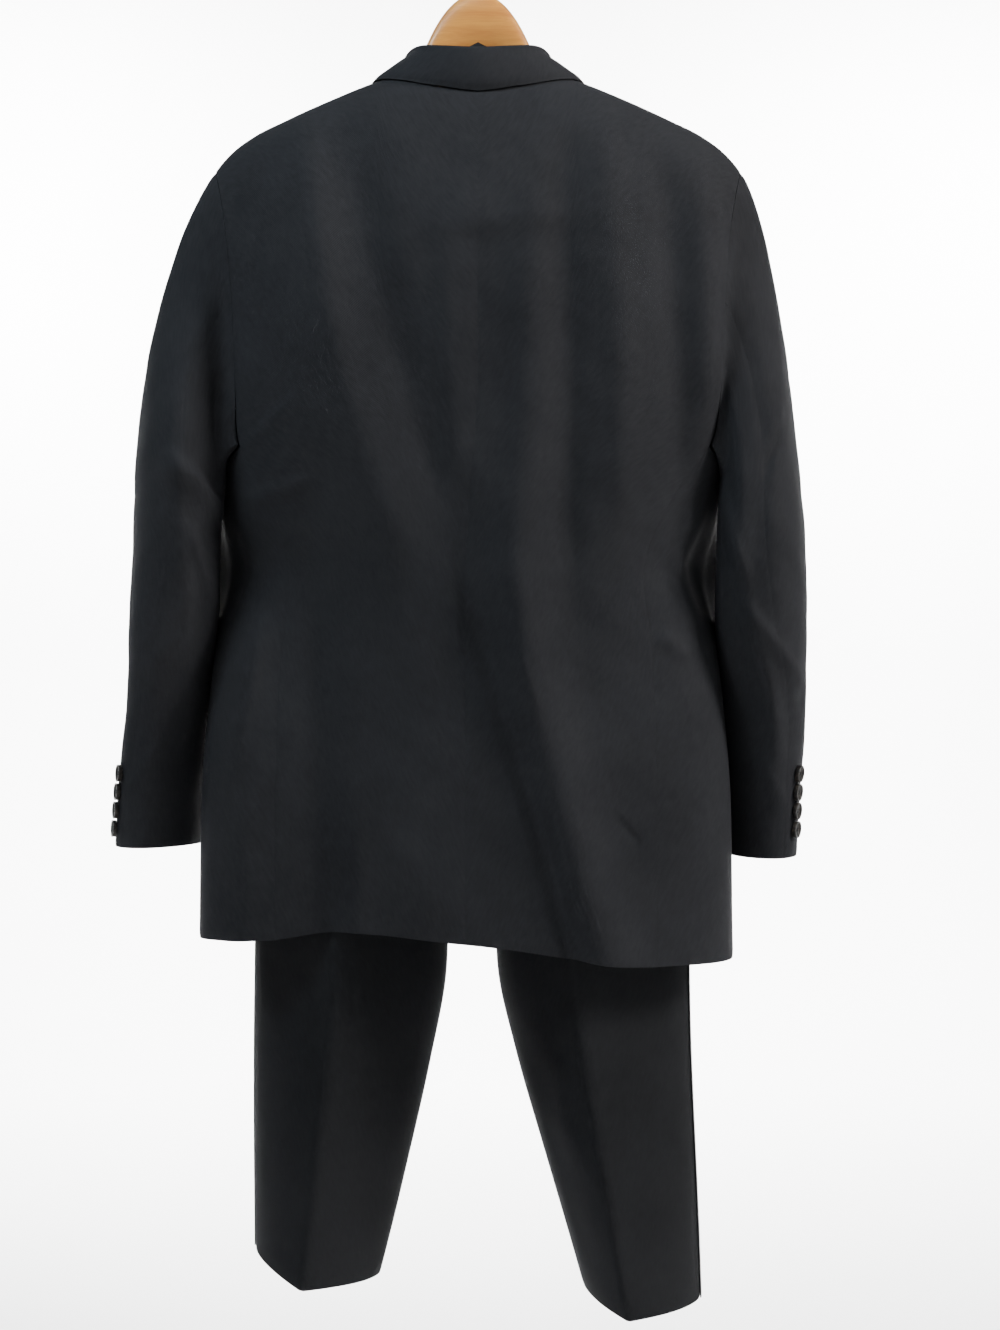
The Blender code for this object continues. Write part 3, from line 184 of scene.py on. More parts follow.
# %% [markdown]
# ## Folds and creases
# Hung wool falls in long soft folds, with short sharper creases where an arm or a waist bent
# it. A fold runs down the cloth with a place for its top, middle and low end. A crease is a
# short line between two points, steep on one side and soft on the other, as pressed cloth is.

# %% Folds and creases
FOLD = "top low top_at middle_at low_at width height"
FOLD_FADE = 0.25  # share of a fold over which each end fades
CREASE = "x1 z1 x2 z2 width height"
CREASE_FADE = 0.35
CREASE_END = 0.15  # how far a crease fades on past its ends
SOFT_FLANK = 2.2  # how much wider a crease's soft side is
WAVES = table(
    "height x1 z1 turn1 x2 z2 turn2",
    (1.0, 61.0, 23.0, 1.3, 17.0, -31.0, 0.0), (0.6, 118.0, -47.0, 0.4, 0.0, 71.0, 2.0),
)
WAVE_HEIGHT = 0.0006


def folds(rows, place, level):
    """Height of all folds of a table at a place across the cloth."""
    total = 0.0
    for fold in rows:
        down = (fold.top - level) / (fold.top - fold.low)
        share = np.clip(down, 0.0, 1.0)
        outer = fold.top_at * (1 - share) ** 2 + fold.low_at * share ** 2
        centre = outer + 2 * share * (1 - share) * fold.middle_at
        strength = ease(down / FOLD_FADE) * ease((1 - down) / FOLD_FADE)
        total = total + fold.height * strength * np.exp(-(((place - centre) / fold.width) ** 2))
    return total


def creases(rows, x, level):
    """Height of the short creases at a place across and a level."""
    total = np.zeros(np.broadcast(x, level).shape)
    for row in rows:
        run_x = row.x2 - row.x1
        run_z = row.z2 - row.z1
        length = math.hypot(run_x, run_z)
        along = ((x - row.x1) * run_x + (level - row.z1) * run_z) / length ** 2
        off = ((x - row.x1) * run_z - (level - row.z1) * run_x) / length
        fade = ease(np.minimum(along, 1.0 - along) / CREASE_FADE + CREASE_END)
        wide = np.where(off > 0.0, row.width, row.width * SOFT_FLANK)
        total = total + row.height * fade * np.exp(-((off / wide) ** 2))
    return total


def unevenness(x, level):
    """Slight waviness that no pressed cloth is free of, from a few crossing waves."""
    total = 0.0
    for wave in WAVES:
        first = np.sin(wave.x1 * x + wave.z1 * level + wave.turn1)
        total = total + wave.height * first * np.sin(wave.x2 * x + wave.z2 * level + wave.turn2)
    return WAVE_HEIGHT * total


print("folds fade over %d %% of their length" % (FOLD_FADE * 100))

# %% [markdown]
# ## The jacket's body
# The body is one tube with a boxy section. Its width and depth are given down its length,
# and near the top it rounds in to the line of the shoulders. Backs, fronts and side panels
# are stretches of this tube between seam lines, so their edges always meet.

# %% Measurements of the body
SHOULDER_LINE = table(
    "out level",
    (0.0, -0.13), (0.05, -0.1335), (0.085, -0.143), (0.13, -0.1605), (0.17, -0.1782), (0.196, -0.1905),
    (0.218, -0.206), (0.238, -0.2285), (0.26, -0.262),
)
# Half-widths of the back and of the front, then how far each reaches.
BODY = table(
    "level back_half front_half back front",
    (-0.15, 0.26, 0.26, 0.088, 0.088), (-0.22, 0.25, 0.25, 0.09, 0.09), (-0.26, 0.24, 0.24, 0.092, 0.092),
    (-0.32, 0.23, 0.23, 0.095, 0.096), (-0.42, 0.224, 0.225, 0.098, 0.099),
    (-0.5, 0.2154, 0.233, 0.098, 0.097), (-0.535, 0.2085, 0.2385, 0.097, 0.095),
    (-0.57, 0.1965, 0.242, 0.096, 0.094), (-0.64, 0.2165, 0.232, 0.097, 0.093),
    (-0.72, 0.2285, 0.2285, 0.102, 0.093), (-0.915, 0.2345, 0.2345, 0.108, 0.096),
)
FLANK_START = math.radians(75.0)  # where the back's half-width gives way to the front's
FLANK_END = math.radians(115.0)
BODY_SQUARENESS = 2.6  # 2 is an ellipse, more is boxier
SHOULDER_DROP = 0.25  # height over which the body rounds in to the shoulder line
SHOULDER_SQUARENESS = 2.5
SWAY = 0.0105  # how far the lower body hangs to the wearer's left
SWAY_TOP = -0.4
SWAY_BOTTOM = -0.6
HALF_NECK = 0.085  # half-width of the neck opening at the shoulder line
NECK_CUT = 0.366  # share of the shoulder's rounding that the back neck cuts away
UNDERARM_RISE = 0.94  # where the side seams meet the armhole: 0 the hem, 1 the rounding's start
UNDERARM_HANG = 0.018  # how far the armhole dips between the side seams
LAP_DEPTH = 0.0022  # how far the right front lies inside the left one
LAP_FULL = 0.022
LAP_END = 0.045
HEM_CORNER = 0.02  # rise of the front's hem over its reach, towards the cutaway
HEM_CORNER_START = 0.115
HEM_CORNER_REACH = 0.09
BACK_HEM = table(
    "across level",
    (-0.235, -0.92), (-0.189, -0.9145), (-0.11, -0.906), (-0.03, -0.894), (0.008, -0.89), (0.116, -0.884),
    (0.179, -0.8945), (0.235, -0.9065),
)
print("body: %d girths, hem from %d points" % (len(BODY), len(BACK_HEM)))

# %% Seam lines of the body
EDGE = "level out"
# Side seam of the back, then the back of the armhole.
BACK_EDGE = table(
    EDGE,
    (-0.93, 0.16), (-0.75, 0.161), (-0.64, 0.157), (-0.57, 0.152), (-0.51, 0.176), (-0.47, 0.202),
    (-0.43, 0.208), (-0.38, 0.211), (-0.32, 0.215), (-0.27, 0.221), (-0.24, 0.227), (-0.222, 0.232),
    (-0.2, 0.239),
)
# Side seam of the front, then the front of the armhole.
FRONT_SIDE_EDGE = table(
    EDGE,
    (-0.93, 0.15), (-0.75, 0.155), (-0.64, 0.153), (-0.57, 0.147), (-0.51, 0.168), (-0.46, 0.189),
    (-0.42, 0.193), (-0.36, 0.197), (-0.3, 0.205), (-0.26, 0.215), (-0.24, 0.223), (-0.222, 0.232),
    (-0.2, 0.242),
)
# Roll line of the lapel, then the lapped front edge and its cutaway.
FRONT_EDGE = table(
    EDGE,
    (-0.93, 0.077), (-0.9, 0.043), (-0.87, 0.021), (-0.83, 0.003), (-0.78, -0.009), (-0.7, -0.0165),
    (-0.62, -0.0165), (-0.58, -0.0105), (-0.53, 0.0003), (-0.45, 0.0178), (-0.3, 0.0506),
    (-0.1425, 0.085), (-0.1, 0.0943),
)
print("points on the back's side seam:", len(BACK_EDGE))

# %% Folds and creases of the body
# Ridges, and troughs with a height below 0.
BACK_FOLDS = table(
    FOLD,
    (-0.15, -0.62, 0.153, 0.148, 0.03, 0.022, 0.0072),
    (-0.16, -0.6, 0.112, 0.095, -0.022, 0.021, -0.0062),
    (-0.26, -0.56, 0.028, 0.022, 0.014, 0.013, 0.003),
    (-0.23, -0.76, -0.048, -0.036, -0.058, 0.019, 0.0066),
    (-0.15, -0.66, -0.074, -0.066, -0.094, 0.015, -0.0056),
    (-0.14, -0.6, -0.106, -0.118, -0.132, 0.017, 0.0062),
    (-0.16, -0.58, -0.154, -0.163, -0.18, 0.015, -0.0056),
    (-0.19, -0.54, -0.19, -0.196, -0.206, 0.016, 0.006),
    (-0.46, -1.12, -0.02, -0.066, -0.192, 0.028, 0.0165),
    (-0.54, -1.0, 0.02, -0.066, -0.11, 0.011, -0.0064), (-0.44, -1.2, 0.145, 0.118, 0.098, 0.06, -0.013),
    (-0.44, -1.16, 0.135, 0.12, 0.1, 0.018, -0.0046), (-0.74, -1.1, 0.094, 0.092, 0.09, 0.013, 0.003),
    (-0.56, -1.08, 0.168, 0.192, 0.204, 0.014, 0.0036),
)
FRONT_FOLDS = table(
    FOLD,
    (-0.44, -0.72, 0.15, 0.132, 0.12, 0.024, 0.0035), (-0.44, -0.7, -0.146, -0.13, -0.118, 0.024, 0.0035),
    (-0.72, -1.1, 0.085, 0.092, 0.1, 0.034, 0.004), (-0.72, -1.12, -0.08, -0.092, -0.104, 0.034, 0.0044),
)
BACK_CREASES = table(
    CREASE,
    (-0.104, -0.276, 0.05, -0.292, 0.013, 0.0034), (0.01, -0.3, 0.006, -0.42, 0.005, 0.001),
    (0.206, -0.48, 0.15, -0.43, 0.0045, 0.0022), (0.2, -0.52, 0.13, -0.5, 0.005, 0.0022),
    (-0.206, -0.524, -0.181, -0.582, 0.0058, 0.009), (-0.181, -0.562, -0.206, -0.628, 0.0058, 0.009),
    (-0.205, -0.24, -0.208, -0.47, 0.009, 0.0074), (0.15, -0.2, 0.11, -0.48, 0.016, 0.0038),
    (-0.166, -0.628, -0.19, -0.655, 0.005, 0.0042), (-0.122, -0.78, -0.148, -0.812, 0.0024, -0.0015),
    (0.172, -0.61, 0.205, -0.79, 0.0075, 0.0042), (0.165, -0.24, 0.205, -0.33, 0.006, 0.0016),
    (0.15, -0.185, 0.13, -0.25, 0.008, 0.0016), (-0.04, -0.64, -0.062, -0.7, 0.005, 0.0016),
    (0.06, -0.6, 0.02, -0.68, 0.009, 0.0014), (0.05, -0.8, 0.03, -0.88, 0.012, 0.0016),
)
FRONT_CREASES = table(
    CREASE,
    (0.19, -0.45, 0.12, -0.5, 0.005, 0.0032), (0.18, -0.52, 0.06, -0.585, 0.0065, 0.004),
    (0.165, -0.65, 0.05, -0.61, 0.0065, 0.0034), (-0.185, -0.46, -0.11, -0.51, 0.005, 0.003),
    (-0.175, -0.53, -0.05, -0.59, 0.0065, 0.0038), (-0.16, -0.66, -0.05, -0.615, 0.0065, 0.0032),
    (-0.12, -0.76, -0.15, -0.86, 0.006, 0.0026),
)
print("%d folds and %d creases on the back" % (len(BACK_FOLDS), len(BACK_CREASES)))

# %% The body's section
AXIS_DROP = 0.05  # how far below a point its place on the body's axis lies
FOLD_FLATTEN = 0.6  # share of the depth below which the folds fade towards the flank


def sway(level):
    return SWAY * ease((SWAY_TOP - level) / (SWAY_TOP - SWAY_BOTTOM))


def body_axis(points):
    return stack(sway(points[..., 2]), 0.0, points[..., 2] - AXIS_DROP)


def half_width_at(level, forward):
    """Half-width of the body at a level; forward goes from 0 on the back to 1 on the front."""
    behind = read(BODY, "back_half", level)
    return behind + (read(BODY, "front_half", level) - behind) * forward


def torso(x, level, face, side, over=1.0, half_width=None):
    """Outer point of the jacket's body at a distance x from its middle, on one face."""
    if half_width is None:
        half_width = half_width_at(level, 0.0 if face == BACK else 1.0)
    depth = read(BODY, "back" if face == BACK else "front", level)
    drop = (read(SHOULDER_LINE, "level", np.abs(x)) - level) / SHOULDER_DROP
    lean = over * oval(1.0 - np.clip(drop, 0.0, 1.0), SHOULDER_SQUARENESS)
    flank = oval(np.abs(x) / half_width, BODY_SQUARENESS)
    long, short = (BACK_FOLDS, BACK_CREASES) if face == BACK else (FRONT_FOLDS, FRONT_CREASES)
    fold = folds(long, side * x, level) + creases(short, side * x, level)
    fold = fold + unevenness(side * x, level)
    fold = fold * np.clip(flank / FOLD_FLATTEN, 0.0, 1.0) * np.abs(lean)
    return stack(side * x + sway(level), face * (depth * flank * lean + fold), level)


def around(angle, level, side):
    """Outer point of the jacket's body at an angle from the centre back, in radians."""
    forward = ease((angle - FLANK_START) / (FLANK_END - FLANK_START))
    half_width = half_width_at(level, forward)
    x = half_width * np.abs(np.sin(angle)) ** (2.0 / BODY_SQUARENESS)
    back, front = (torso(x, level, face, side, 1.0, half_width) for face in (BACK, FRONT))
    return np.where((np.cos(angle) > 0.0)[..., None], back, front)


print("widest half of the back: %.3f m" % max(row.back_half for row in BODY))

# %% Levels and edges of the panels
def hem_level(x, face, side):
    if face == BACK:
        return read(BACK_HEM, "level", side * x)
    corner = np.clip((HEM_CORNER_START - x) / HEM_CORNER_REACH, 0.0, None) ** 2
    return float(read(BACK_HEM, "level", side * BACK_HEM[-1].across)) + HEM_CORNER * corner


def rounding(x, v, face):
    """Angle over the shoulder for v from 1 to 2; the back neck stops short of the ridge."""
    top = 1.0
    if face == BACK:
        top = 1.0 - NECK_CUT * np.sqrt(np.clip(1.0 - (x / HALF_NECK) ** 2, 0.0, 1.0))
    return (v - 1.0) * top * math.pi / 2


def body_level(x, v, face, side):
    """Level at v: 0 the hem, 1 where the shoulder starts to round, 2 the top edge."""
    start = read(SHOULDER_LINE, "level", np.abs(x)) - SHOULDER_DROP
    hem = hem_level(x, face, side)
    turn = np.clip(rounding(x, v, face), 0.0, math.pi)
    high = start + SHOULDER_DROP * np.abs(np.sin(turn)) ** (2.0 / SHOULDER_SQUARENESS)
    return np.where(v < 1.0, hem + (start - hem) * v, high)


EDGE_GUESS, EDGE_ROUNDS = 0.15, 12  # the first guess, and how often it is bettered


def edge_out(rows, v, face, side):
    """Distance from the middle of an edge given by level, at each v."""
    out = np.full_like(np.asarray(v, dtype=float), EDGE_GUESS)
    for _ in range(EDGE_ROUNDS):
        out = read(rows, "out", body_level(out, v, face, side))
    return out


def seam_angle(rows, level):
    """Angle round the body at which a seam lies at a level."""
    half_width = half_width_at(level, 0.0 if rows is BACK_EDGE else 1.0)
    share = (read(rows, "out", level) + SEAM / 2) / half_width
    return np.arcsin(np.clip(share, 0.0, 1.0) ** (BODY_SQUARENESS / 2.0))


print("hem at the centre back: %.3f m" % hem_level(0.0, BACK, LEFT))

# %% The panels of the body
def panel(side, face, u, v):
    """Point of a front or a back: u 0 at its middle edge, 1 at its side edge."""
    if face == BACK:
        inner, seam = np.full_like(v, -SEAM), BACK_EDGE
    else:
        inner, seam = edge_out(FRONT_EDGE, v, FRONT, side), FRONT_SIDE_EDGE
    x = inner + (edge_out(seam, v, face, side) - SEAM / 2 - inner) * u
    over = np.where(rounding(x, v, face) > math.pi / 2, -1.0, 1.0)
    place = torso(x, body_level(x, v, face, side), face, side, over)
    place[..., 1] += face * SEAM / 2
    if face == FRONT and side == RIGHT:
        place[..., 1] += LAP_DEPTH * ease((LAP_END - x) / (LAP_END - LAP_FULL))
    return place


def side_panel(side, u, v):
    """Point of the side panel: u 0 at the back seam, 1 at the front one."""
    rise = v * UNDERARM_RISE
    behind = body_level(edge_out(BACK_EDGE, rise, BACK, side), rise, BACK, side)
    before = body_level(edge_out(FRONT_SIDE_EDGE, rise, FRONT, side), rise, FRONT, side)
    hang = UNDERARM_HANG * np.sin(np.clip(u, 0.0, 1.0) * math.pi) * v ** 2
    level = behind + (before - behind) * u - hang
    start = seam_angle(BACK_EDGE, level)
    end = math.pi - seam_angle(FRONT_SIDE_EDGE, level)
    return around(start + (end - start) * u, level, side)


print("shoulder point:", np.round(panel(LEFT, BACK, 1.0, np.array([2.0]))[0], 4))

# %% [markdown]
# ## Laying a sheet
# A panel of cloth starts as a flat grid, as it is cut. Every point of the grid is then laid on
# the panel's surface, its edges turn in by a millimetre as at a sewn seam, and Solidify gives
# it its thickness. The map that goes with it stays in metres, so that the weave keeps its size.

# %% Small steps of modelling
def flat_grid(name, across, up):
    """A flat grid of across by up faces, and the column and the row of each of its points."""
    bpy.ops.object.select_all(action="DESELECT")
    bpy.ops.mesh.primitive_grid_add(x_subdivisions=across, y_subdivisions=up, size=1.0)
    sheet = bpy.context.active_object
    sheet.name = name
    flat = points_of(sheet) + 0.5
    return sheet, np.rint(flat[:, 0] * across).astype(int), np.rint(flat[:, 1] * up).astype(int)


def points_of(thing):
    flat = np.empty(len(thing.data.vertices) * 3)
    thing.data.vertices.foreach_get("co", flat)
    return flat.reshape(-1, 3)


def move_points(thing, places):
    thing.data.vertices.foreach_set("co", places.ravel())
    thing.data.update()


def pick(thing):
    """Select one object alone and make it the active one."""
    bpy.ops.object.select_all(action="DESELECT")
    thing.select_set(True)
    bpy.context.view_layer.objects.active = thing


def apply_modifier(thing, kind, **settings):
    change = thing.modifiers.new(kind.lower(), kind)
    for name, value in settings.items():
        setattr(change, name, value)
    bpy.context.view_layer.objects.active = thing
    bpy.ops.object.modifier_apply(modifier=change.name)


def smooth(degrees):
    """Shade smooth, apart from edges that are sharper than the angle given."""
    bpy.ops.object.shade_smooth_by_angle(angle=math.radians(degrees))


def finished(thing, material, nodes, stands=True):
    """Give a piece its material and its place in the frame."""
    thing.data.materials.clear()
    thing.data.materials.append(material)
    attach(thing, "root")
    if stands:
        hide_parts(*nodes)


print("steps ready: grid, points, modifier, shading, finish")

# %% Lay a sheet on a surface
EDGE_TURN = 0.0008  # how far a sewn edge turns in
EDGE_REACH = 0.0030
NEAR_EDGE = (0.0012, 0.0030, 0.0060)  # places of the closer rows beside an edge
CLOTH_SHARPNESS = 50.0
CLEAR_OF_CLOSE = 1.3  # even places start this much further in than the last close one


def spaced(count, length):
    """Places from 0 to 1: even, with closer ones beside both edges."""
    inner = np.linspace(0.0, 1.0, count)[1:-1]
    close = np.array(NEAR_EDGE) / length
    clear = close[-1] * CLEAR_OF_CLOSE
    inner = inner[(inner > clear) & (inner < 1.0 - clear)]
    return np.concatenate(([0.0], close, inner, 1.0 - close[::-1], [1.0]))


def lengths_of(places, along):
    steps = np.linalg.norm(np.diff(places, axis=along), axis=-1).mean(axis=1 - along)
    return np.concatenate(([0.0], np.cumsum(steps)))


def lay_sheet(name, point, across, up, axis, turned, above=0.0, wall=WALL):
    """Cloth laid on a surface; turned says which edges turn in: first and last u, then v."""
    u, v = np.meshgrid(across, up, indexing="ij")
    places = point(u, v)
    normal = outward(point, u, v, axis)
    length_u = lengths_of(places, 0)
    length_v = lengths_of(places, 1)
    turn = np.zeros(u.shape)
    edges = (length_u[:, None], np.abs(length_u - length_u[-1])[:, None],
             length_v[None, :], np.abs(length_v - length_v[-1])[None, :])
    for weight, far in zip(turned, edges):
        turn = np.maximum(turn, weight * np.exp(-((far / EDGE_REACH) ** 2)))
    places = places + normal * (above - EDGE_TURN * turn)[..., None]
    sheet, i, j = flat_grid(name, len(across) - 1, len(up) - 1)
    move_points(sheet, places[i, j])
    mesh = sheet.data
    corners = np.empty(len(mesh.loops), dtype=int)
    mesh.loops.foreach_get("vertex_index", corners)
    cut = np.stack((length_u[i], length_v[j]), axis=-1)
    mesh.uv_layers[0].data.foreach_set("uv", cut[corners].ravel())
    middle = mesh.polygons[len(mesh.polygons) // 2]
    if np.dot(np.array(middle.normal), normal[i, j][middle.vertices[0]]) < 0.0:
        bpy.ops.object.mode_set(mode="EDIT")
        bpy.ops.mesh.select_all(action="SELECT")
        bpy.ops.mesh.flip_normals()
        bpy.ops.object.mode_set(mode="OBJECT")
    apply_modifier(sheet, "SOLIDIFY", thickness=wall, offset=-1.0)
    smooth(CLOTH_SHARPNESS)
    return sheet, (float(length_u[-1]), float(length_v[-1]))


print("edges turn in by %.1f mm" % (EDGE_TURN * 1000.0))

# %% [markdown]
# ## Finishes
# The suit is a fine worsted in a charcoal so dark that it reads as black. Two crossing sets of
# diagonal ridges make its twill, short hairs give each ridge a slightly other tone, and sheen
# lights it where it turns away. The facings and stripes are silk satin, much smoother.

# %% Material tools
def set_inputs(node, inputs):
    """Set a node's inputs to numbers and colours, or link them to other nodes' outputs."""
    for key, value in inputs.items():
        if isinstance(value, bpy.types.NodeSocket):
            node.id_data.links.new(value, node.inputs[key])
        else:
            node.inputs[key].default_value = value


def add_node(tree, kind, output, inputs, **settings):
    """Add a node, set its inputs and hand back one of its outputs."""
    node = tree.nodes.new("ShaderNode" + kind)
    for key, value in settings.items():
        setattr(node, key, value)
    set_inputs(node, inputs)
    return node.outputs[output]


def new_material(name, maps_to="Object"):
    """A material's nodes, with the output that tells each point's place."""
    material = bpy.data.materials.new(name)
    material.use_nodes = True
    return material, material.node_tree, add_node(material.node_tree, "TexCoord", maps_to, {})


def mapped(tree, place, **inputs):
    return add_node(tree, "Mapping", "Vector", {"Vector": place, **inputs})


def noise(tree, place, scale, detail, roughness=0.5, distortion=0.0):
    inputs = {"Vector": place, "Scale": scale, "Detail": detail, "Roughness": roughness}
    return add_node(tree, "TexNoise", "Fac", {**inputs, "Distortion": distortion})


def spread(tree, value, low, high):
    return add_node(tree, "MapRange", "Result", {"Value": value, "To Min": low, "To Max": high})


def bump(tree, height, strength, distance, **inputs):
    inputs.update({"Height": height, "Strength": strength, "Distance": distance})
    return add_node(tree, "Bump", "Normal", inputs)


def ramp(tree, value, low, high, start, end):
    """Colours from low to high as a value goes from start to end."""
    colour = add_node(tree, "ValToRGB", "Color", {"Fac": value})
    ends = colour.node.color_ramp.elements
    for element, position, tone in ((ends[0], start, low), (ends[1], end, high)):
        element.position = position
        element.color = (*tone, 1.0)
    return colour


def coated(material, **inputs):
    """Set the shader's inputs by name, written with _ for a space."""
    shader = material.node_tree.nodes["Principled BSDF"]
    set_inputs(shader, {key.replace("_", " "): value for key, value in inputs.items()})
    return material


print("material tools ready")

# %% Wool and satin
TWILL_ANGLE = math.radians(27.0)
RIDGES_PER_SCALE = 0.314  # ridges of a wave texture lie this many metres apart at a scale of 1


def woven(name, low, high, roughness, sheen, specular, ridge, ridge_depth, stretch):
    """Cloth with diagonal ridges of a given width in metres and hairs stretched along them."""
    material, tree, place = new_material(name, "UV")
    turned = mapped(tree, place, Rotation=(0.0, 0.0, TWILL_ANGLE))
    wave = {"Vector": turned, "Scale": RIDGES_PER_SCALE / ridge, "Distortion": 1.2}
    twill = add_node(tree, "TexWave", "Fac", {**wave, "Detail": 2.0, "Detail Scale": 3.0})
    along = mapped(tree, turned, Scale=(1.0, stretch, 1.0))
    hairs = noise(tree, along, 1.0 / (3.0 * ridge), 6.0, 0.65)
    patches = noise(tree, place.node.outputs["Object"], 9.0, 4.0, 0.55)
    mixed = add_node(tree, "Math", "Value", {0: hairs, 1: patches}, operation="ADD")
    halved = add_node(tree, "Math", "Value", {0: mixed, 1: 0.5}, operation="MULTIPLY")
    fine = bump(tree, twill, 0.6, ridge_depth)
    return coated(
        material,
        Base_Color=ramp(tree, halved, low, high, 0.36, 0.64),
        Roughness=spread(tree, hairs, roughness - 0.06, roughness + 0.06),
        Normal=bump(tree, hairs, 0.5, ridge_depth * 2.0, Normal=fine),
        Sheen_Weight=sheen, Sheen_Roughness=0.45, Specular_IOR_Level=specular,
    )


WORSTED = (0.82, 0.0, 0.06, 0.0009, 0.00010, 0.25)
WOOL = woven("charcoal_wool", (0.0124, 0.0129, 0.0146), (0.0204, 0.0211, 0.0234), *WORSTED)
# The trousers are the same wool as the jacket: this darker copy is painted shade for the weaker light that
# reaches them.
SHADED_WOOL = woven("deep_charcoal_wool", (0.008, 0.0084, 0.0093), (0.0135, 0.0141, 0.0155), *WORSTED)
SATIN = woven("black_satin", (0.006, 0.0062, 0.0072), (0.0105, 0.0108, 0.0122),
              0.42, 0.05, 0.22, 0.0003, 0.00002, 0.08)
print("cloth finishes:", WOOL.name, SHADED_WOOL.name, SATIN.name)

# %% Horn, beech and chrome
def horn():
    material, tree, place = new_material("black_horn")
    swirl = noise(tree, place, 160.0, 5.0, distortion=1.5)
    colour = ramp(tree, swirl, (0.006, 0.0055, 0.005), (0.032, 0.026, 0.021), 0.42, 0.72)
    rough = spread(tree, swirl, 0.34, 0.48)
    return coated(material, Base_Color=colour, Roughness=rough, Specular_IOR_Level=0.22)


def beech():
    material, tree, place = new_material("varnished_beech")
    along = mapped(tree, place, Scale=(3.0, 60.0, 40.0))
    grain = noise(tree, along, 2.2, 7.0, 0.6, 0.4)
    flecks = noise(tree, along, 22.0, 3.0)
    mixed = add_node(tree, "Math", "Value", {0: flecks, 1: 0.25, 2: grain}, operation="MULTIPLY_ADD")
    colour = ramp(tree, mixed, (0.46, 0.160, 0.020), (0.65, 0.287, 0.040), 0.45, 0.80)
    coated(material, Base_Color=colour, Normal=bump(tree, grain, 0.25, 0.0003))
    return coated(material, Roughness=0.42, Coat_Weight=0.22, Coat_Roughness=0.15)


def chrome():
    material, tree, place = new_material("polished_chrome")
    marks = noise(tree, mapped(tree, place, Scale=(40.0, 900.0, 900.0)), 1.0, 3.0)
    colour = ramp(tree, marks, (0.50, 0.50, 0.52), (0.62, 0.62, 0.63), 0.3, 0.7)
    return coated(material, Base_Color=colour, Roughness=spread(tree, marks, 0.22, 0.34), Metallic=1.0)


HORN = horn()
BEECH = beech()
CHROME = chrome()
print("hard finishes:", HORN.name, BEECH.name, CHROME.name)

# %% Sew a sheet
def sew(name, nodes, surface, across, up, axis, turned, rests_on, material=WOOL, held="hung", **laid):
    """Lay a sheet, give it its material and its place in the frame, hide the solids it stands for and print
    its cut size.
    """
    sheet, size = lay_sheet(name, surface, across, up, axis, turned, **laid)
    area = sum(face.area for face in sheet.data.polygons) / 2.0  # of one side
    finished(sheet, material, nodes)
    print("%s: cut %.2f by %.2f m, %d faces" % (name, *size, len(sheet.data.polygons)))


# %% [markdown]
# ## Backs, fronts and side panels
# A jacket's body is cut in six: two backs that meet in the centre seam, two side panels under
# the arms and two fronts. Each is laid on its stretch of the body. The hems and the front
# edges are turned back and pressed, so their edges turn in a little less than a sewn seam's.

# %% Lay the jacket's body
BODY_ROWS = columns((UNDERARM_RISE, 140), (1.0, 8), (2.0, 76))
SIDE_SWELL = 0.0014  # a side panel hangs a little full
for side, name in NAMES.items():
    sew("back_" + name, ["jacket_back_" + name], partial(panel, side, BACK), spaced(84, 0.20),
        BODY_ROWS, body_axis, (0.3, 0.3, 0.8, 0.6), ["hanger_wood"])
    sew("front_" + name, ["jacket_front_" + name], partial(panel, side, FRONT), spaced(60, 0.18),
        BODY_ROWS, body_axis, (0.7, 1, 0.8, 1), ["hanger_wood"])
    across = spaced(60, 0.13)
    swell = SIDE_SWELL * np.sin(math.pi * across)[:, None] ** 2
    sew("side_" + name, ["jacket_side_" + name], partial(side_panel, side), across,
        columns((1.0, 150)), body_axis, (0.25, 0.4, 0.8, 0.6), ["jacket_back_" + name], above=swell)

# %% [markdown]
# ## Sleeves
# A suit sleeve is two strips sewn into a tube that bends forward at the elbow. It is set into
# the armhole with a little fullness, so its head stands off the seam in a soft roll. Below the
# armhole it folds at the elbow, and these creases are what make an empty sleeve look real.

# %% Measurements of the sleeves
RING = "level out fore half_width half_depth turn"
LEFT_SLEEVE = table(
    RING,
    (-0.5, 0.2631, 0.016, 0.0384, 0.067, -14.5), (-0.55, 0.266, 0.016, 0.037, 0.064, -16.0),
    (-0.62, 0.27, 0.004, 0.0392, 0.064, -8.0), (-0.7, 0.2765, -0.022, 0.037, 0.062, 8.0),
    (-0.77, 0.2835, -0.028, 0.0365, 0.0575, 15.0), (-0.82, 0.287, -0.031, 0.036, 0.055, 20.0),
)
RIGHT_SLEEVE = table(
    RING,
    (-0.5, 0.2508, 0.01, 0.0339, 0.069, -15.0), (-0.55, 0.2503, 0.016, 0.0372, 0.064, -16.0),
    (-0.62, 0.251, 0.004, 0.0405, 0.063, -8.0), (-0.7, 0.2545, -0.022, 0.0382, 0.062, 6.0),
    (-0.77, 0.2545, -0.028, 0.0345, 0.0575, 6.0), (-0.829, 0.2545, -0.031, 0.032, 0.055, 6.0),
)
SLEEVE_BACK_SEAM = 75.0
SLEEVE_FRONT_SEAM = 250.0
SLEEVE_SEAM_GAP = 0.02  # degrees, half of a seam's gap on the sleeve's radius
HEAD_GAP = 0.0009  # between the armhole's edge and the sleeve head
HEAD_START = {LEFT: 0.155, RIGHT: 0.125}  # first handle of the sleeve head as a share of its drop
HEAD_END = 0.45
UNDERARM_TUCK = 30.0  # degrees round the underarm where the sleeve starts straight outwards
UNDERARM_BLEND = 50.0
SLEEVE_ROUND = 0.34 / 360.0  # metres round the sleeve for each degree
print("rings of a sleeve:", len(LEFT_SLEEVE))

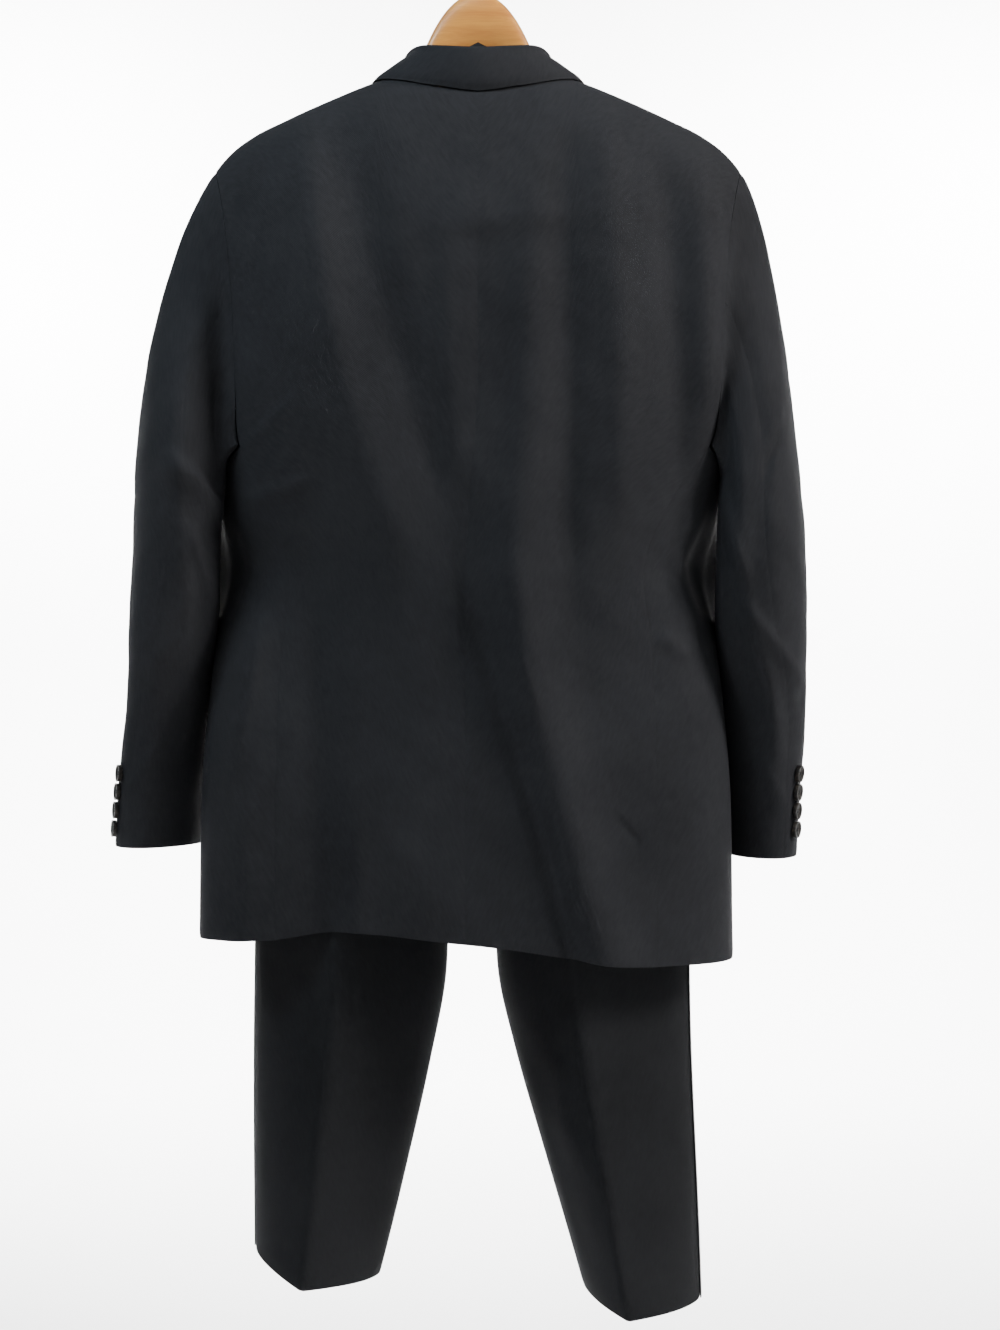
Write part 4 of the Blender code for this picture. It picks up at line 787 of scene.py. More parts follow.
# %% Folds and creases of the sleeves
# Their places are angles round the sleeve: 0 outside, 90 back, 180 inside.
LEFT_SLEEVE_FOLDS = table(
    FOLD,
    (-0.34, -0.58, 95.0, 118.0, 150.0, 15.0, -0.0055), (-0.3, -0.54, 60.0, 68.0, 84.0, 16.0, 0.004),
    (-0.49, -0.72, 70.0, 105.0, 150.0, 16.0, 0.0045), (-0.42, -0.7, 148.0, 150.0, 150.0, 17.0, 0.0042),
    (-0.52, -0.68, 290.0, 265.0, 240.0, 18.0, -0.004), (-0.6, -0.76, 300.0, 280.0, 250.0, 18.0, 0.0035),
)
RIGHT_SLEEVE_FOLDS = table(
    FOLD,
    (-0.32, -0.8, 112.0, 116.0, 88.0, 13.0, 0.005), (-0.34, -0.6, 66.0, 74.0, 84.0, 14.0, -0.003),
    (-0.42, -0.72, 144.0, 146.0, 146.0, 17.0, 0.0048), (-0.52, -0.68, 290.0, 265.0, 240.0, 18.0, -0.004),
    (-0.6, -0.76, 300.0, 280.0, 250.0, 18.0, 0.0035),
)
# Across is metres round the sleeve from its outer line, backwards.
LEFT_SLEEVE_CREASES = table(
    CREASE,
    (0.15, -0.532, 0.052, -0.478, 0.0085, 0.0098), (0.098, -0.405, 0.142, -0.505, 0.0075, -0.004),
    (0.088, -0.54, 0.14, -0.615, 0.006, 0.0052), (0.12, -0.62, 0.06, -0.665, 0.006, 0.0018),
    (0.11, -0.72, 0.06, -0.78, 0.006, 0.0014), (0.24, -0.56, 0.3, -0.61, 0.0055, 0.003),
    (0.25, -0.62, 0.31, -0.65, 0.0055, 0.0028),
)
RIGHT_SLEEVE_CREASES = table(
    CREASE,
    (0.04, -0.455, 0.072, -0.5, 0.0034, -0.004), (0.03, -0.43, 0.06, -0.47, 0.004, 0.003),
    (0.13, -0.5, 0.092, -0.59, 0.006, 0.004), (0.11, -0.6, 0.04, -0.68, 0.007, 0.0036),
    (0.03, -0.69, 0.09, -0.7, 0.006, -0.0026), (0.11, -0.74, 0.06, -0.79, 0.006, 0.0014),
    (0.24, -0.56, 0.3, -0.6, 0.0055, 0.003), (0.25, -0.63, 0.31, -0.66, 0.0055, 0.0028),
)
SLEEVES = {
    LEFT: (LEFT_SLEEVE, LEFT_SLEEVE_FOLDS, LEFT_SLEEVE_CREASES),
    RIGHT: (RIGHT_SLEEVE, RIGHT_SLEEVE_FOLDS, RIGHT_SLEEVE_CREASES),
}
print("creases on the sleeves:", len(LEFT_SLEEVE_CREASES), len(RIGHT_SLEEVE_CREASES))

# %% The armhole and the tube below it
SEAM_POINTS, UNDERARM_POINTS = 300, 60


def square_to(way, along):
    """The part of a direction that stands square to another one, as a unit direction."""
    return unit(way - along * np.sum(way * along, axis=-1, keepdims=True))


def armhole(side):
    """Points, outward directions and continuing directions round the armhole, from its top."""
    down = np.linspace(2.0, UNDERARM_RISE, SEAM_POINTS)
    edge = np.ones(SEAM_POINTS)
    under = np.linspace(0.02, 0.98, UNDERARM_POINTS)
    runs = (
        (partial(panel, side, BACK), edge, down),
        (partial(side_panel, side), under, np.ones(UNDERARM_POINTS)),
        (partial(panel, side, FRONT), edge, down[::-1]),
    )
    parts = []
    for surface, u, v in runs:
        across, up = slopes_of(surface, u, v)
        onward = square_to(up, across) if u is under else square_to(across, up)
        parts.append((surface(u, v), outward(surface, u, v, body_axis), onward))
    joined = [np.concatenate(group) for group in zip(*parts)]
    lengths = np.linalg.norm(np.diff(joined[0], axis=0), axis=1)
    gone = np.concatenate(([0.0], np.cumsum(lengths)))
    return gone / gone[-1] * 360.0, joined


def sleeve_tube(rows, side, angle, level):
    """Outer point of the sleeve below its head, at an angle in degrees and a level."""
    out, fore, wide, deep, turn = (read(rows, name, level) for name in RING.split()[1:])
    turn = np.radians(turn)
    over = wide * np.cos(np.radians(angle))
    behind = deep * np.sin(np.radians(angle))
    x = out + over * np.cos(turn) + behind * np.sin(turn)
    y = fore - over * np.sin(turn) + behind * np.cos(turn)
    return stack(side * x, y, level)


print("armhole: %d points" % len(armhole(LEFT)[0]))

# %% The whole sleeve
HEAD_AXIS_DROP = 0.02  # how far below a point of the head its place on the axis lies


def sleeve_surface(side):
    """Surface of a whole sleeve: u in degrees round it, v 0 to 1 the head, 1 to 2 below."""
    rows, long, short = SLEEVES[side]
    stations, (ring, normals, onwards) = armhole(side)
    first = rows[0].level
    last = rows[-1].level

    def at(values, angle):
        wrapped = np.mod(angle, 360.0)
        return np.stack([np.interp(wrapped, stations, values[:, k]) for k in range(3)], axis=-1)

    def centre(level):
        return stack(side * read(rows, "out", level), read(rows, "fore", level), level)

    def point(u, v):
        from_underarm = np.abs(np.mod(u, 360.0) - 180.0)
        tuck = 1.0 - ease((from_underarm - UNDERARM_TUCK) / UNDERARM_BLEND)[..., None]
        lead = unit(at(onwards, u) * (1.0 - tuck) + at(normals, u) * tuck)
        start = at(ring, u) + lead * HEAD_GAP
        end = sleeve_tube(rows, side, u, first)
        down = unit(sleeve_tube(rows, side, u, first - 0.01) - end)
        span = np.linalg.norm(end - start, axis=-1, keepdims=True)
        handle = start + lead * span * HEAD_START[side]
        arrive = end - down * span * HEAD_END
        t = np.minimum(v, 1.0)[..., None]
        head = start * (1 - t) ** 3 + handle * 3 * t * (1 - t) ** 2
        head = head + arrive * 3 * t ** 2 * (1 - t) + end * t ** 3
        below = sleeve_tube(rows, side, u, first + (last - first) * (v - 1.0))
        place = np.where((v < 1.0)[..., None], head, below)
        away = unit((place - centre(place[..., 2])) * np.array((1.0, 1.0, 0.0)))
        angle = np.mod(u, 360.0)
        gone = angle * SLEEVE_ROUND
        height = folds(long, angle, place[..., 2]) + creases(short, gone, place[..., 2])
        height = (height + unevenness(gone, place[..., 2])) * ease(v * 2.0)
        return place + away * height[..., None]

    def axis(points):
        middle = centre(np.minimum(points[..., 2], first))
        high = points[..., 2] > first
        middle[..., 2] = np.where(high, points[..., 2] - HEAD_AXIS_DROP, points[..., 2])
        return middle

    return point, axis


print("sleeves read from %d rings each" % len(LEFT_SLEEVE))

# %% Lay the sleeves
SLEEVE_ROWS = np.concatenate((spaced(46, 0.30)[:-4], np.linspace(0.985, 2.0, 90)))
UPPER_SPAN = (SLEEVE_FRONT_SEAM - 360.0 + SLEEVE_SEAM_GAP, SLEEVE_BACK_SEAM - SLEEVE_SEAM_GAP)
UNDER_SPAN = (SLEEVE_BACK_SEAM + SLEEVE_SEAM_GAP, SLEEVE_FRONT_SEAM - SLEEVE_SEAM_GAP)
for side, name in NAMES.items():
    sleeve, inside_sleeve = sleeve_surface(side)
    for part, (start, end) in (("upper", UPPER_SPAN), ("under", UNDER_SPAN)):
        across = start + (end - start) * spaced(58, 0.17)
        sew("sleeve_%s_cloth_%s" % (part, name), ["sleeve_%s_%s" % (part, name)], sleeve, across,
            SLEEVE_ROWS, inside_sleeve, (0.4, 0.4, 0.8, 0.8), ["jacket_back_" + name])

# %% [markdown]
# ## Collar and lapels
# The collar stands up inside, rolls over and falls over the neck seam, in one piece of cloth.
# The lapels are the fronts turned back, faced with satin, and end in peaks. Both are laid on
# curved surfaces that follow the neck and the chest.

# %% Measurements of the collar and lapels
# From the middle of the back neck to the gorge.
COLLAR = table(
    "seam_x seam_y fold_x fold_y fold_z fall_x fall_y",
    (0.0, 0.053, 0.0, 0.0578, -0.13, 0.0, 0.0576), (0.035, 0.0485, 0.031, 0.052, -0.1265, 0.04, 0.0522),
    (0.062, 0.036, 0.05, 0.036, -0.121, 0.069, 0.04),
    (0.0785, 0.0175, 0.061, 0.012, -0.119, 0.088, 0.0215),
    (0.0825, -0.004, 0.064, -0.01, -0.1225, 0.0965, -0.004),
    (0.0772, -0.048, 0.067, -0.052, -0.158, 0.105, -0.042),
    (0.0665, -0.0712, 0.0645, -0.079, -0.213, 0.112, -0.0695),
)
FOLD_RADIUS = 0.0026  # of the collar's rolled top edge
COLLAR_LIFT = 0.0011  # gap under the collar's fall
LAPEL_BOTTOM = -0.52
LAPEL = table(
    "along width",
    (0.0, 0.004), (0.2, 0.026), (0.5, 0.056), (0.8, 0.081), (1.0, 0.095),
)
LAPEL_TOP_INNER = -0.22
LAPEL_NOTCH = -0.242
LAPEL_PEAK = -0.23
LAPEL_LIFT = 0.0012
LAPEL_ROLL = 0.0026  # how far the lapel stands off along its roll line
LAPEL_OVERHANG = 0.0015
COLLAR_STATIONS = (0.0, 0.2, 0.38, 0.44, 0.5, 0.56, 0.62, 0.75, 0.88, 1.0)
FALL_STARTS = 6  # the station from which the collar falls outside
KNOT = "at x y z"
print("collar rows:", len(COLLAR))

# %% The collar's place on the shoulders
LEVEL_ROUNDS = 6  # how often the level is bettered
# How far the rolled edge's places lie out from the fold and below it, in radii of the fold.
COLLAR_ROLL = ((-1.0, 1.6), (-0.75, 0.3), (0.0, 0.0), (0.75, 0.3), (1.2, 1.6))
STAND_FULLNESS, FALL_FULLNESS = 0.0010, 0.0012  # how far the collar curves out of a flat line


def on_shoulder(x, y):
    """Point of the jacket's body near the shoulder line, over a place in plan."""
    crest = read(SHOULDER_LINE, "level", np.abs(x))
    level = crest
    for _ in range(LEVEL_ROUNDS):
        flank = oval(np.abs(x) / half_width_at(level, 0.0), BODY_SQUARENESS)
        risen = oval(np.abs(y) / (read(BODY, "back", level) * flank), SHOULDER_SQUARENESS)
        level = crest - SHOULDER_DROP * (1.0 - risen)
    return stack(x, y, level)


def clear_of_shoulder(places):
    """The places, raised where they would come too near the shoulder's cloth below them."""
    x = places[..., 0]
    y = places[..., 1]
    ground = on_shoulder(x, y)
    normal = unit(np.cross(on_shoulder(x + STEP, y) - ground, on_shoulder(x, y + STEP) - ground))
    gap = np.sum((places - ground) * normal, axis=-1, keepdims=True) - COLLAR_LIFT - WALL
    return places - normal * np.minimum(gap, 0.0)


def collar_sections():
    """Points of the collar from its seam over its fold to its fall, at each of its rows."""
    sections = []
    for row in COLLAR:
        seam = on_shoulder(row.seam_x, row.seam_y)
        fold = np.array((row.fold_x, row.fold_y, row.fold_z))
        edge = clear_of_shoulder(on_shoulder(row.fall_x, row.fall_y))
        away = unit((edge - fold) * np.array((1.0, 1.0, 0.0)))
        down = np.array((0.0, 0.0, -FOLD_RADIUS))
        roll = [fold + away * FOLD_RADIUS * out + down * low for out, low in COLLAR_ROLL]
        fall = edge - roll[-1]
        sections.append((
            seam + unit(fold - seam) * STAND_FULLNESS,
            (seam + fold) / 2 - away * STAND_FULLNESS,
            *roll,
            *(roll[-1] + fall * share + away * FALL_FULLNESS for share in (0.33, 0.67)),
            edge,
        ))
    return np.array(sections)


SECTIONS = collar_sections()
print("collar's top at the centre back: %.3f m" % SECTIONS[0, 4, 2])

# %% The collar's surface
def through(places, at):
    """Smooth curve through places, read by their number."""
    knots = table(KNOT, *((float(k), *place) for k, place in places))
    return [read(knots, name, at) for name in "xyz"]


def collar_point(u, v):
    """u from -1 to 1 round the neck, v 0 at the neck seam, 0.5 on the fold, 1 the fall's edge."""
    lines = []
    for run in np.swapaxes(SECTIONS, 0, 1):
        places = [(-1, run[1] * (-1.0, 1.0, 1.0))] + list(enumerate(run))
        x, y, z = through(places, np.abs(u) * (len(COLLAR) - 1))
        lines.append(stack(np.sign(u) * x, y, z))
    places = np.moveaxis(np.stack(lines), -1, 0)
    places = stack(*(smooth_curve(COLLAR_STATIONS, values, v) for values in places))
    falls = (v > COLLAR_STATIONS[FALL_STARTS])[..., None]
    return np.where(falls, clear_of_shoulder(places), places)


def collar_axis(points):
    """Places inside the folded collar, between its stand and its fall."""
    middle = (SECTIONS[:, 1] + SECTIONS[:, 7]) / 2
    middle = np.concatenate((middle[::-1] * (-1.0, 1.0, 1.0), middle[1:]))
    apart = np.linalg.norm(points.reshape(-1, 3)[:, None] - middle[None], axis=-1)
    return middle[np.argmin(apart, axis=1)].reshape(points.shape)


def lapel(side, u, v):
    """u 0 on the roll line, 1 the outer edge; v 0 the button, 1 the gorge."""
    dip = LAPEL_NOTCH - (LAPEL_TOP_INNER + LAPEL_PEAK) / 2
    top = LAPEL_TOP_INNER + (LAPEL_PEAK - LAPEL_TOP_INNER) * u + 4 * dip * u * (1 - u)
    level = LAPEL_BOTTOM + (top - LAPEL_BOTTOM) * v
    inner = read(FRONT_EDGE, "out", level) - LAPEL_OVERHANG
    return torso(inner + read(LAPEL, "width", v) * u, level, FRONT, side)


def rolled_lapel(side, u, v):
    """The lapel's points, standing off towards the roll line."""
    off = LAPEL_ROLL * np.clip(1.0 - u, 0.0, 1.0) ** 2
    normal = outward(partial(lapel, side), u, v, body_axis)
    return lapel(side, u, v) + normal * off[..., None]


print("collar drawn through %d stations" % len(COLLAR_STATIONS))

# %% Lay the collar and the lapels
COLLAR_OVER = np.concatenate((
    np.linspace(0.0, 0.38, 9), np.linspace(0.40, 0.62, 12), np.linspace(0.66, 0.975, 9), [0.988, 1.0],
))
sew("collar_cloth", ["collar"], collar_point, np.linspace(-1.0, 1.0, 141), COLLAR_OVER, collar_axis,
    (0, 0, 0, 1.3), ["jacket_back_left", "jacket_back_right"], held="folded")
for side, name in NAMES.items():
    sew("lapel_facing_" + name, ["lapel_" + name], partial(rolled_lapel, side),
        spaced(26, 0.06), spaced(80, 0.30), body_axis, (0.2, 0.5, 0.5, 0.5), ["jacket_front_" + name], SATIN,
        above=LAPEL_LIFT + WALL)

# %% [markdown]
# ## Pockets
# The hip pockets have flaps and the left breast has a welt. A flap is a small lined sheet that
# hangs from its seam and stands a little off the front. The welt is a narrow band sewn flat.

# %% Lay the flaps and the welt
FLAP_BACK = 106.0  # degrees round the body: 0 centre back, 90 side, 180 centre front
FLAP_FRONT = 146.0
FLAP_TOP = -0.7
FLAP_HEIGHT = 0.052
FLAP_SLANT = 0.006
WELT_INNER = 0.128
WELT_OUTER = 0.184
WELT_TOP = -0.338
WELT_HEIGHT = 0.024
WELT_SLANT = 0.006


def flap(side, u, v):
    angle = np.radians(FLAP_BACK + (FLAP_FRONT - FLAP_BACK) * u)
    return around(angle, FLAP_TOP - FLAP_SLANT * (1.0 - u) - FLAP_HEIGHT * v, side)


def welt(u, v):
    x = WELT_INNER + (WELT_OUTER - WELT_INNER) * u
    return torso(x, WELT_TOP + WELT_SLANT * u - WELT_HEIGHT * v, FRONT, LEFT)


for side, name in NAMES.items():
    sew("flap_" + name, ["pocket_flap_" + name], partial(flap, side), spaced(36, 0.14), spaced(14, 0.052),
        body_axis, (0.4, 0.4, 0.2, 0.4), ["jacket_front_" + name], above=2 * LIFT + WALL)
sew("welt", ["breast_welt"], welt, spaced(20, 0.056), spaced(8, 0.024), body_axis,
    (0.4, 0.4, 0.4, 0.4), ["jacket_front_left"], held="stretched", above=LIFT + WALL)

# %% [markdown]
# ## Trousers
# The trousers hang by their waistband, so the legs fall straight, and the knife creases down
# the middle of each leg are their sharpest lines. Satin stripes run down both outer seams, as
# on all evening trousers. The seat, hidden by the jacket, is finished plainly.

# %% Measurements of the trousers
# Corner is the side's rounding, crease 1 a pressed edge and 2 none.
TROUSERS = table(
    "level inner outer back corner crease",
    (-0.2733, 0.00015, 0.2005, 0.0066, 0.0066, 2.0), (-0.31, 0.00015, 0.202, 0.024, 0.04, 2.0),
    (-0.36, 0.00015, 0.2045, 0.048, 0.09, 1.9), (-0.42, 0.00015, 0.2055, 0.068, 0.12, 1.7),
    (-0.48, 0.002, 0.198, 0.076, 0.15, 1.4), (-0.56, 0.008, 0.1875, 0.078, 0.15, 1.2),
    (-0.64, 0.0125, 0.187, 0.079, 0.15, 1.1), (-0.83, 0.0215, 0.1915, 0.081, 0.15, 1.0),
    (-0.94, 0.024, 0.1925, 0.082, 0.15, 1.0), (-1.0, 0.037, 0.1935, 0.0825, 0.15, 1.0),
    (-1.1, 0.063, 0.1955, 0.082, 0.15, 1.0), (-1.22, 0.0955, 0.1975, 0.08, 0.15, 1.0),
)
TROUSER_FRONT = 0.96  # the front's depth as a share of the back's
TROUSER_SWAY = 0.005  # how far the trousers hang to the wearer's left
FOOT_SWAY = -0.0005  # the same at the hems
SWING_TOP = -0.95
SWING_BOTTOM = -1.25
CROTCH = -0.48
RISE_BLEND = 0.075  # height over which the centre seam curves out above the crotch
LEG_ROUNDNESS = 0.6
TROUSER_HEM = {LEFT: -1.187, RIGHT: -1.212}  # level of each leg's hem at its middle
TROUSER_HEM_SLOPE = {LEFT: 0.22, RIGHT: 0.16}  # rise of each hem towards the wearer's left
HEM_MIDDLE = 0.14
LEG_TURN = {LEFT: 0.09, RIGHT: 0.24}  # how far each crease leans to the wearer's left, by depth
TURN_TOP = -0.55
TURN_BOTTOM = -0.95
WAIST_TOP = -0.235
WAIST_HEIGHT = 0.038
WAIST_HALF_WIDTH = 0.2005
WAIST_HALF_DEPTH = 0.0068
STRIPE_BEFORE = 0.018  # how far the stripe reaches onto the front
STRIPE_BEHIND = 0.0022  # how far it reaches onto the back
STRIPE_THICKNESS = 0.001
STRIPE_AT_WAIST = 0.0045
STRIPE_FULL = 0.97  # where the stripe starts to narrow to the flat waist: 0 the hem, 1 the waist
# Their places are shares across the panel, 0 inseam and 1 outseam.
LEG_FOLDS = table(
    FOLD,
    (-0.62, -0.86, 0.3, 0.26, 0.22, 0.08, -0.004), (-0.7, -0.98, 0.72, 0.76, 0.8, 0.08, -0.0035),
    (-0.95, -1.2, 0.25, 0.27, 0.3, 0.08, -0.0025),
)
# Across is the share of the panel, 0 inseam and 1 outseam.
LEG_CREASES = table(
    CREASE,
    (0.1, -0.52, 0.6, -0.58, 0.06, 0.002), (0.2, -0.86, 0.7, -0.9, 0.045, 0.0018),
    (0.8, -0.89, 0.35, -0.935, 0.045, -0.0016), (0.15, -0.95, 0.55, -0.985, 0.04, 0.0014),
    (0.25, -1.06, 0.75, -1.1, 0.05, 0.0012),
)
print("legs read from %d rows" % len(TROUSERS))

# %% The legs
def leg_sway(level):
    swung = ease((SWING_TOP - level) / (SWING_TOP - SWING_BOTTOM))
    return TROUSER_SWAY + (FOOT_SWAY - TROUSER_SWAY) * swung


def leg_middle(side, points):
    level = points[..., 2]
    middle = (read(TROUSERS, "inner", level) + read(TROUSERS, "outer", level)) / 2
    return stack(side * middle + leg_sway(level), 0.0, level)


def leg(side, face, u, v):
    """u 0 at the inseam and centre seam, 1 at the outseam; v 0 the hem, 1 the waist seam."""
    rough = TROUSER_HEM[side] + (TROUSERS[0].level - TROUSER_HEM[side]) * v
    inner = np.maximum(read(TROUSERS, "inner", rough), SEAM / 2)
    outer = read(TROUSERS, "outer", rough)
    across = -np.cos(math.pi * u)
    x = (inner + outer) / 2 + (outer - inner) / 2 * across
    slope = TROUSER_HEM_SLOPE[side] * side * (x - HEM_MIDDLE)
    level = rough + slope * np.clip(1.0 - 3.0 * v, 0.0, 1.0)
    lens = (1.0 - np.abs(across) ** read(TROUSERS, "crease", level)) ** LEG_ROUNDNESS
    lens = lens * np.sign(np.sin(math.pi * u))
    corner = read(TROUSERS, "corner", level)
    seat = oval((x - (outer - corner)) / corner, 2.0) * np.where(u > 1.0, -1.0, 1.0)
    seated = ease((level - CROTCH) / RISE_BLEND)
    y = read(TROUSERS, "back", level) * (lens * (1.0 - seated) + seat * seated)
    small = folds(LEG_FOLDS, u, level) + creases(LEG_CREASES, u, level)
    y = y + (small + unevenness(side * x, level)) * np.sin(math.pi * np.clip(u, 0.0, 1.0))
    if face == FRONT:
        y = y * TROUSER_FRONT
    turned = LEG_TURN[side] * ease((TURN_TOP - level) / (TURN_TOP - TURN_BOTTOM))
    y = face * (y + SEAM / 2)
    return stack(side * x + leg_sway(level) + turned * y, y, level)


print("legs sway %.1f mm at the knee" % (leg_sway(-0.8) * 1000.0))

# %% The waistband and the stripes
STRIPE_TAPER = 0.15  # share of the leg over which the stripe narrows to the waist
OUTSEAM_FROM, HALVINGS = 0.6, 40  # where the search beside the outseam starts, and its steps


def waistband(side, u, v):
    """u from 0 at the centre back round the side to 1 at the centre front."""
    radius = WAIST_HALF_DEPTH
    straight = WAIST_HALF_WIDTH - radius
    gone = u * (2 * straight + math.pi * radius)
    turn = np.clip((gone - straight) / radius, 0.0, math.pi)
    x = np.minimum(gone, straight) + radius * np.sin(turn)
    x = x - np.clip(gone - straight - math.pi * radius, 0.0, None)
    level = WAIST_TOP - WAIST_HEIGHT * v
    return stack(side * (x + SEAM / 2) + TROUSER_SWAY, radius * np.cos(turn), level)


def beside_outseam(side, face, reach, v):
    """Point of the leg that lies as far from the outseam as asked, found by halving."""
    low = np.full_like(v, OUTSEAM_FROM)
    high = np.ones_like(v)
    for _ in range(HALVINGS):
        middle = (low + high) / 2
        deeper = np.abs(leg(side, face, middle, v)[..., 1]) > reach
        low = np.where(deeper, middle, low)
        high = np.where(deeper, high, middle)
    return leg(side, face, (low + high) / 2, v)


def stripe(side, u, v):
    """A band over the outseam: u from -1 on the front to 1 on the back."""
    narrow = ease((v - STRIPE_FULL + STRIPE_TAPER) / STRIPE_TAPER)
    wide = np.where(u < 0.0, STRIPE_BEFORE, STRIPE_BEHIND)
    reach = np.abs(u) * (wide + (np.minimum(STRIPE_AT_WAIST, wide) - wide) * narrow)
    back, front = (beside_outseam(side, face, reach, v) for face in (BACK, FRONT))
    return np.where((u >= 0.0)[..., None], back, front)


print("stripe: %.0f mm on the front" % (STRIPE_BEFORE * 1000.0))

# %% Lay the trousers
LEG_ROWS = np.concatenate((spaced(140, 0.93)[:-1], [1.0]))
WAIST_ACROSS = columns((0.30, 12), (0.485, 12), (0.515, 10), (0.70, 12), (1.0, 12))
# The legs and waistbands take the darker wool, whose darkness is painted shade.
for side, name in NAMES.items():
    inside_leg = partial(leg_middle, side)
    for face, node in ((BACK, "trouser_back_"), (FRONT, "trouser_front_")):
        sew(node + "cloth_" + name, [node + name], partial(leg, side, face), spaced(46, 0.20),
            LEG_ROWS, inside_leg, (0.8, 0.8, 0.5, 0), ["waistband_" + name], SHADED_WOOL)
    sew("waistband_cloth_" + name, ["waistband_" + name], partial(waistband, side),
        WAIST_ACROSS, spaced(8, 0.038), inside_leg, (0.4, 0.4, 0.4, 0.6), ["trouser_bar"],
        SHADED_WOOL, "folded")
    sew("stripe_" + name, ["side_stripe_" + name], partial(stripe, side),
        np.linspace(-1.0, 1.0, 13), LEG_ROWS, inside_leg, (0.2, 0.2, 0, 0),
        ["trouser_back_" + name], SATIN, above=LIFT + STRIPE_THICKNESS, wall=STRIPE_THICKNESS)

# %% [markdown]
# ## Buttons
# A horn button is turned on a lathe: a disc with a raised rim, a sunk middle and four holes,
# held by a cross of thread. One is modelled from a cylinder by inset and moves, and copied
# onto the solids' places, each copy with its own mesh.

# %% Turn a button
CUFF_BUTTON_RADIUS = 0.0075
FRONT_BUTTON_RADIUS = 0.0100
BUTTON_THICKNESS = 0.0032
BUTTON_STEPS = ((0.16, 0.0), (0.10, 0.26), (0.30, 0.08))  # inset by radius, drop by thickness
HOLE_OUT, HOLE_RADIUS, BUTTON_BEVEL = 0.17, 0.085, 0.05  # of the button's radius
THREAD_RADIUS, THREAD_LENGTH, THREAD_LEVEL = 0.055, 0.56, 0.68


def cylinder(name, sides, radius, depth, middle, turn=(0.0, 0.0, 0.0)):
    """A cylinder with its place in its mesh, selected alone."""
    bpy.ops.object.select_all(action="DESELECT")
    bpy.ops.mesh.primitive_cylinder_add(
        vertices=sides, radius=radius, depth=depth, location=middle, rotation=turn)
    bpy.ops.object.transform_apply(location=True, rotation=True, scale=True)
    bpy.context.active_object.name = name
    return bpy.context.active_object


def turned_button(radius):
    """A button at the origin, its face towards +Z."""
    thick = BUTTON_THICKNESS
    button = cylinder("button", 48, radius, thick, (0.0, 0.0, thick / 2))
    bpy.ops.object.mode_set(mode="EDIT")
    bpy.ops.mesh.select_all(action="DESELECT")
    bpy.ops.object.mode_set(mode="OBJECT")
    for face in button.data.polygons:
        face.select = face.normal.z > 0.9
    bpy.ops.object.mode_set(mode="EDIT")
    for inset, drop in BUTTON_STEPS:
        bpy.ops.mesh.inset(thickness=radius * inset)
        bpy.ops.transform.translate(value=(0.0, 0.0, -thick * drop))
    bpy.ops.object.mode_set(mode="OBJECT")
    for dx, dy in ((1, 1), (1, -1), (-1, 1), (-1, -1)):
        middle = (dx * radius * HOLE_OUT, dy * radius * HOLE_OUT, thick / 2)
        drill = cylinder("drill", 14, radius * HOLE_RADIUS, thick * 3, middle)
        apply_modifier(button, "BOOLEAN", operation="DIFFERENCE", solver="EXACT", object=drill)
        bpy.data.objects.remove(drill, do_unlink=True)
    pick(button)
    apply_modifier(button, "BEVEL", width=radius * BUTTON_BEVEL, segments=2,
                   limit_method="ANGLE", angle_limit=math.radians(50.0))
    smooth(35.0)
    return button


def cross_of_thread(radius):
    """Two stitches that cross between the holes, joined into one mesh."""
    first, second = (
        cylinder("stitch", 8, radius * THREAD_RADIUS, radius * THREAD_LENGTH,
                 (0.0, 0.0, BUTTON_THICKNESS * THREAD_LEVEL), (math.pi / 2, 0.0, math.radians(turn)))
        for turn in (45.0, 135.0)
    )
    first.select_set(True)
    bpy.ops.object.join()
    return bpy.context.active_object


PATTERNS = {}
for size, radius in (("cuff", CUFF_BUTTON_RADIUS), ("front", FRONT_BUTTON_RADIUS)):
    PATTERNS[size] = (turned_button(radius), cross_of_thread(radius))
print("faces of a button:", len(PATTERNS["front"][0].data.polygons))

# %% Copy the button onto its places
INSIDE = {  # places behind the buttons, inside the sleeves and the jacket
    "cuff_button_left": (0.285, -0.03, -0.80),
    "cuff_button_right": (-0.255, -0.03, -0.80),
    "front_button": (0.0, 0.0, -0.60),
}


def seat(pattern, name, node, material, stands):
    """Copy a piece onto a CAD button's place: its middle, and the way its flat face looks."""
    points = points_of(bpy.data.objects[node])
    middle = (points.min(axis=0) + points.max(axis=0)) / 2
    facing = np.linalg.svd(points - points.mean(axis=0), full_matrices=False)[2][2]
    if np.dot(facing, middle - INSIDE[node.rstrip("_0123456789")]) < 0.0:
        facing = -facing
    across = unit(np.cross(facing, (0.0, 0.0, 1.0)))
    turn = np.stack((across, np.cross(facing, across), facing), axis=1)
    copy = pattern.copy()
    copy.data = pattern.data.copy()
    bpy.context.scene.collection.objects.link(copy)
    copy.name = name
    move_points(copy, (points_of(copy) - (0.0, 0.0, BUTTON_THICKNESS / 2)) @ turn.T + middle)
    finished(copy, material, [node], stands)


buttons = [node for node in frame["nodes"] if "button" in node]
for node in buttons:
    button, thread = PATTERNS[node.split("_")[0]]
    seat(button, node + "_horn", node, HORN, True)
    seat(thread, node + "_thread", node, SATIN, False)
for pair in PATTERNS.values():
    for spare in pair:
        bpy.data.objects.remove(spare, do_unlink=True)
print("buttons made:", len(buttons))

# %% [markdown]
# ## The hanger
# The arms are sawn from beech, shaped like shoulders, rounded and varnished. The steel hook,
# bar and clips are chromed. The wood is lofted from rows of its outline, the wire parts are
# curves with a round bevel, and each clip is a bent strip of sheet metal.

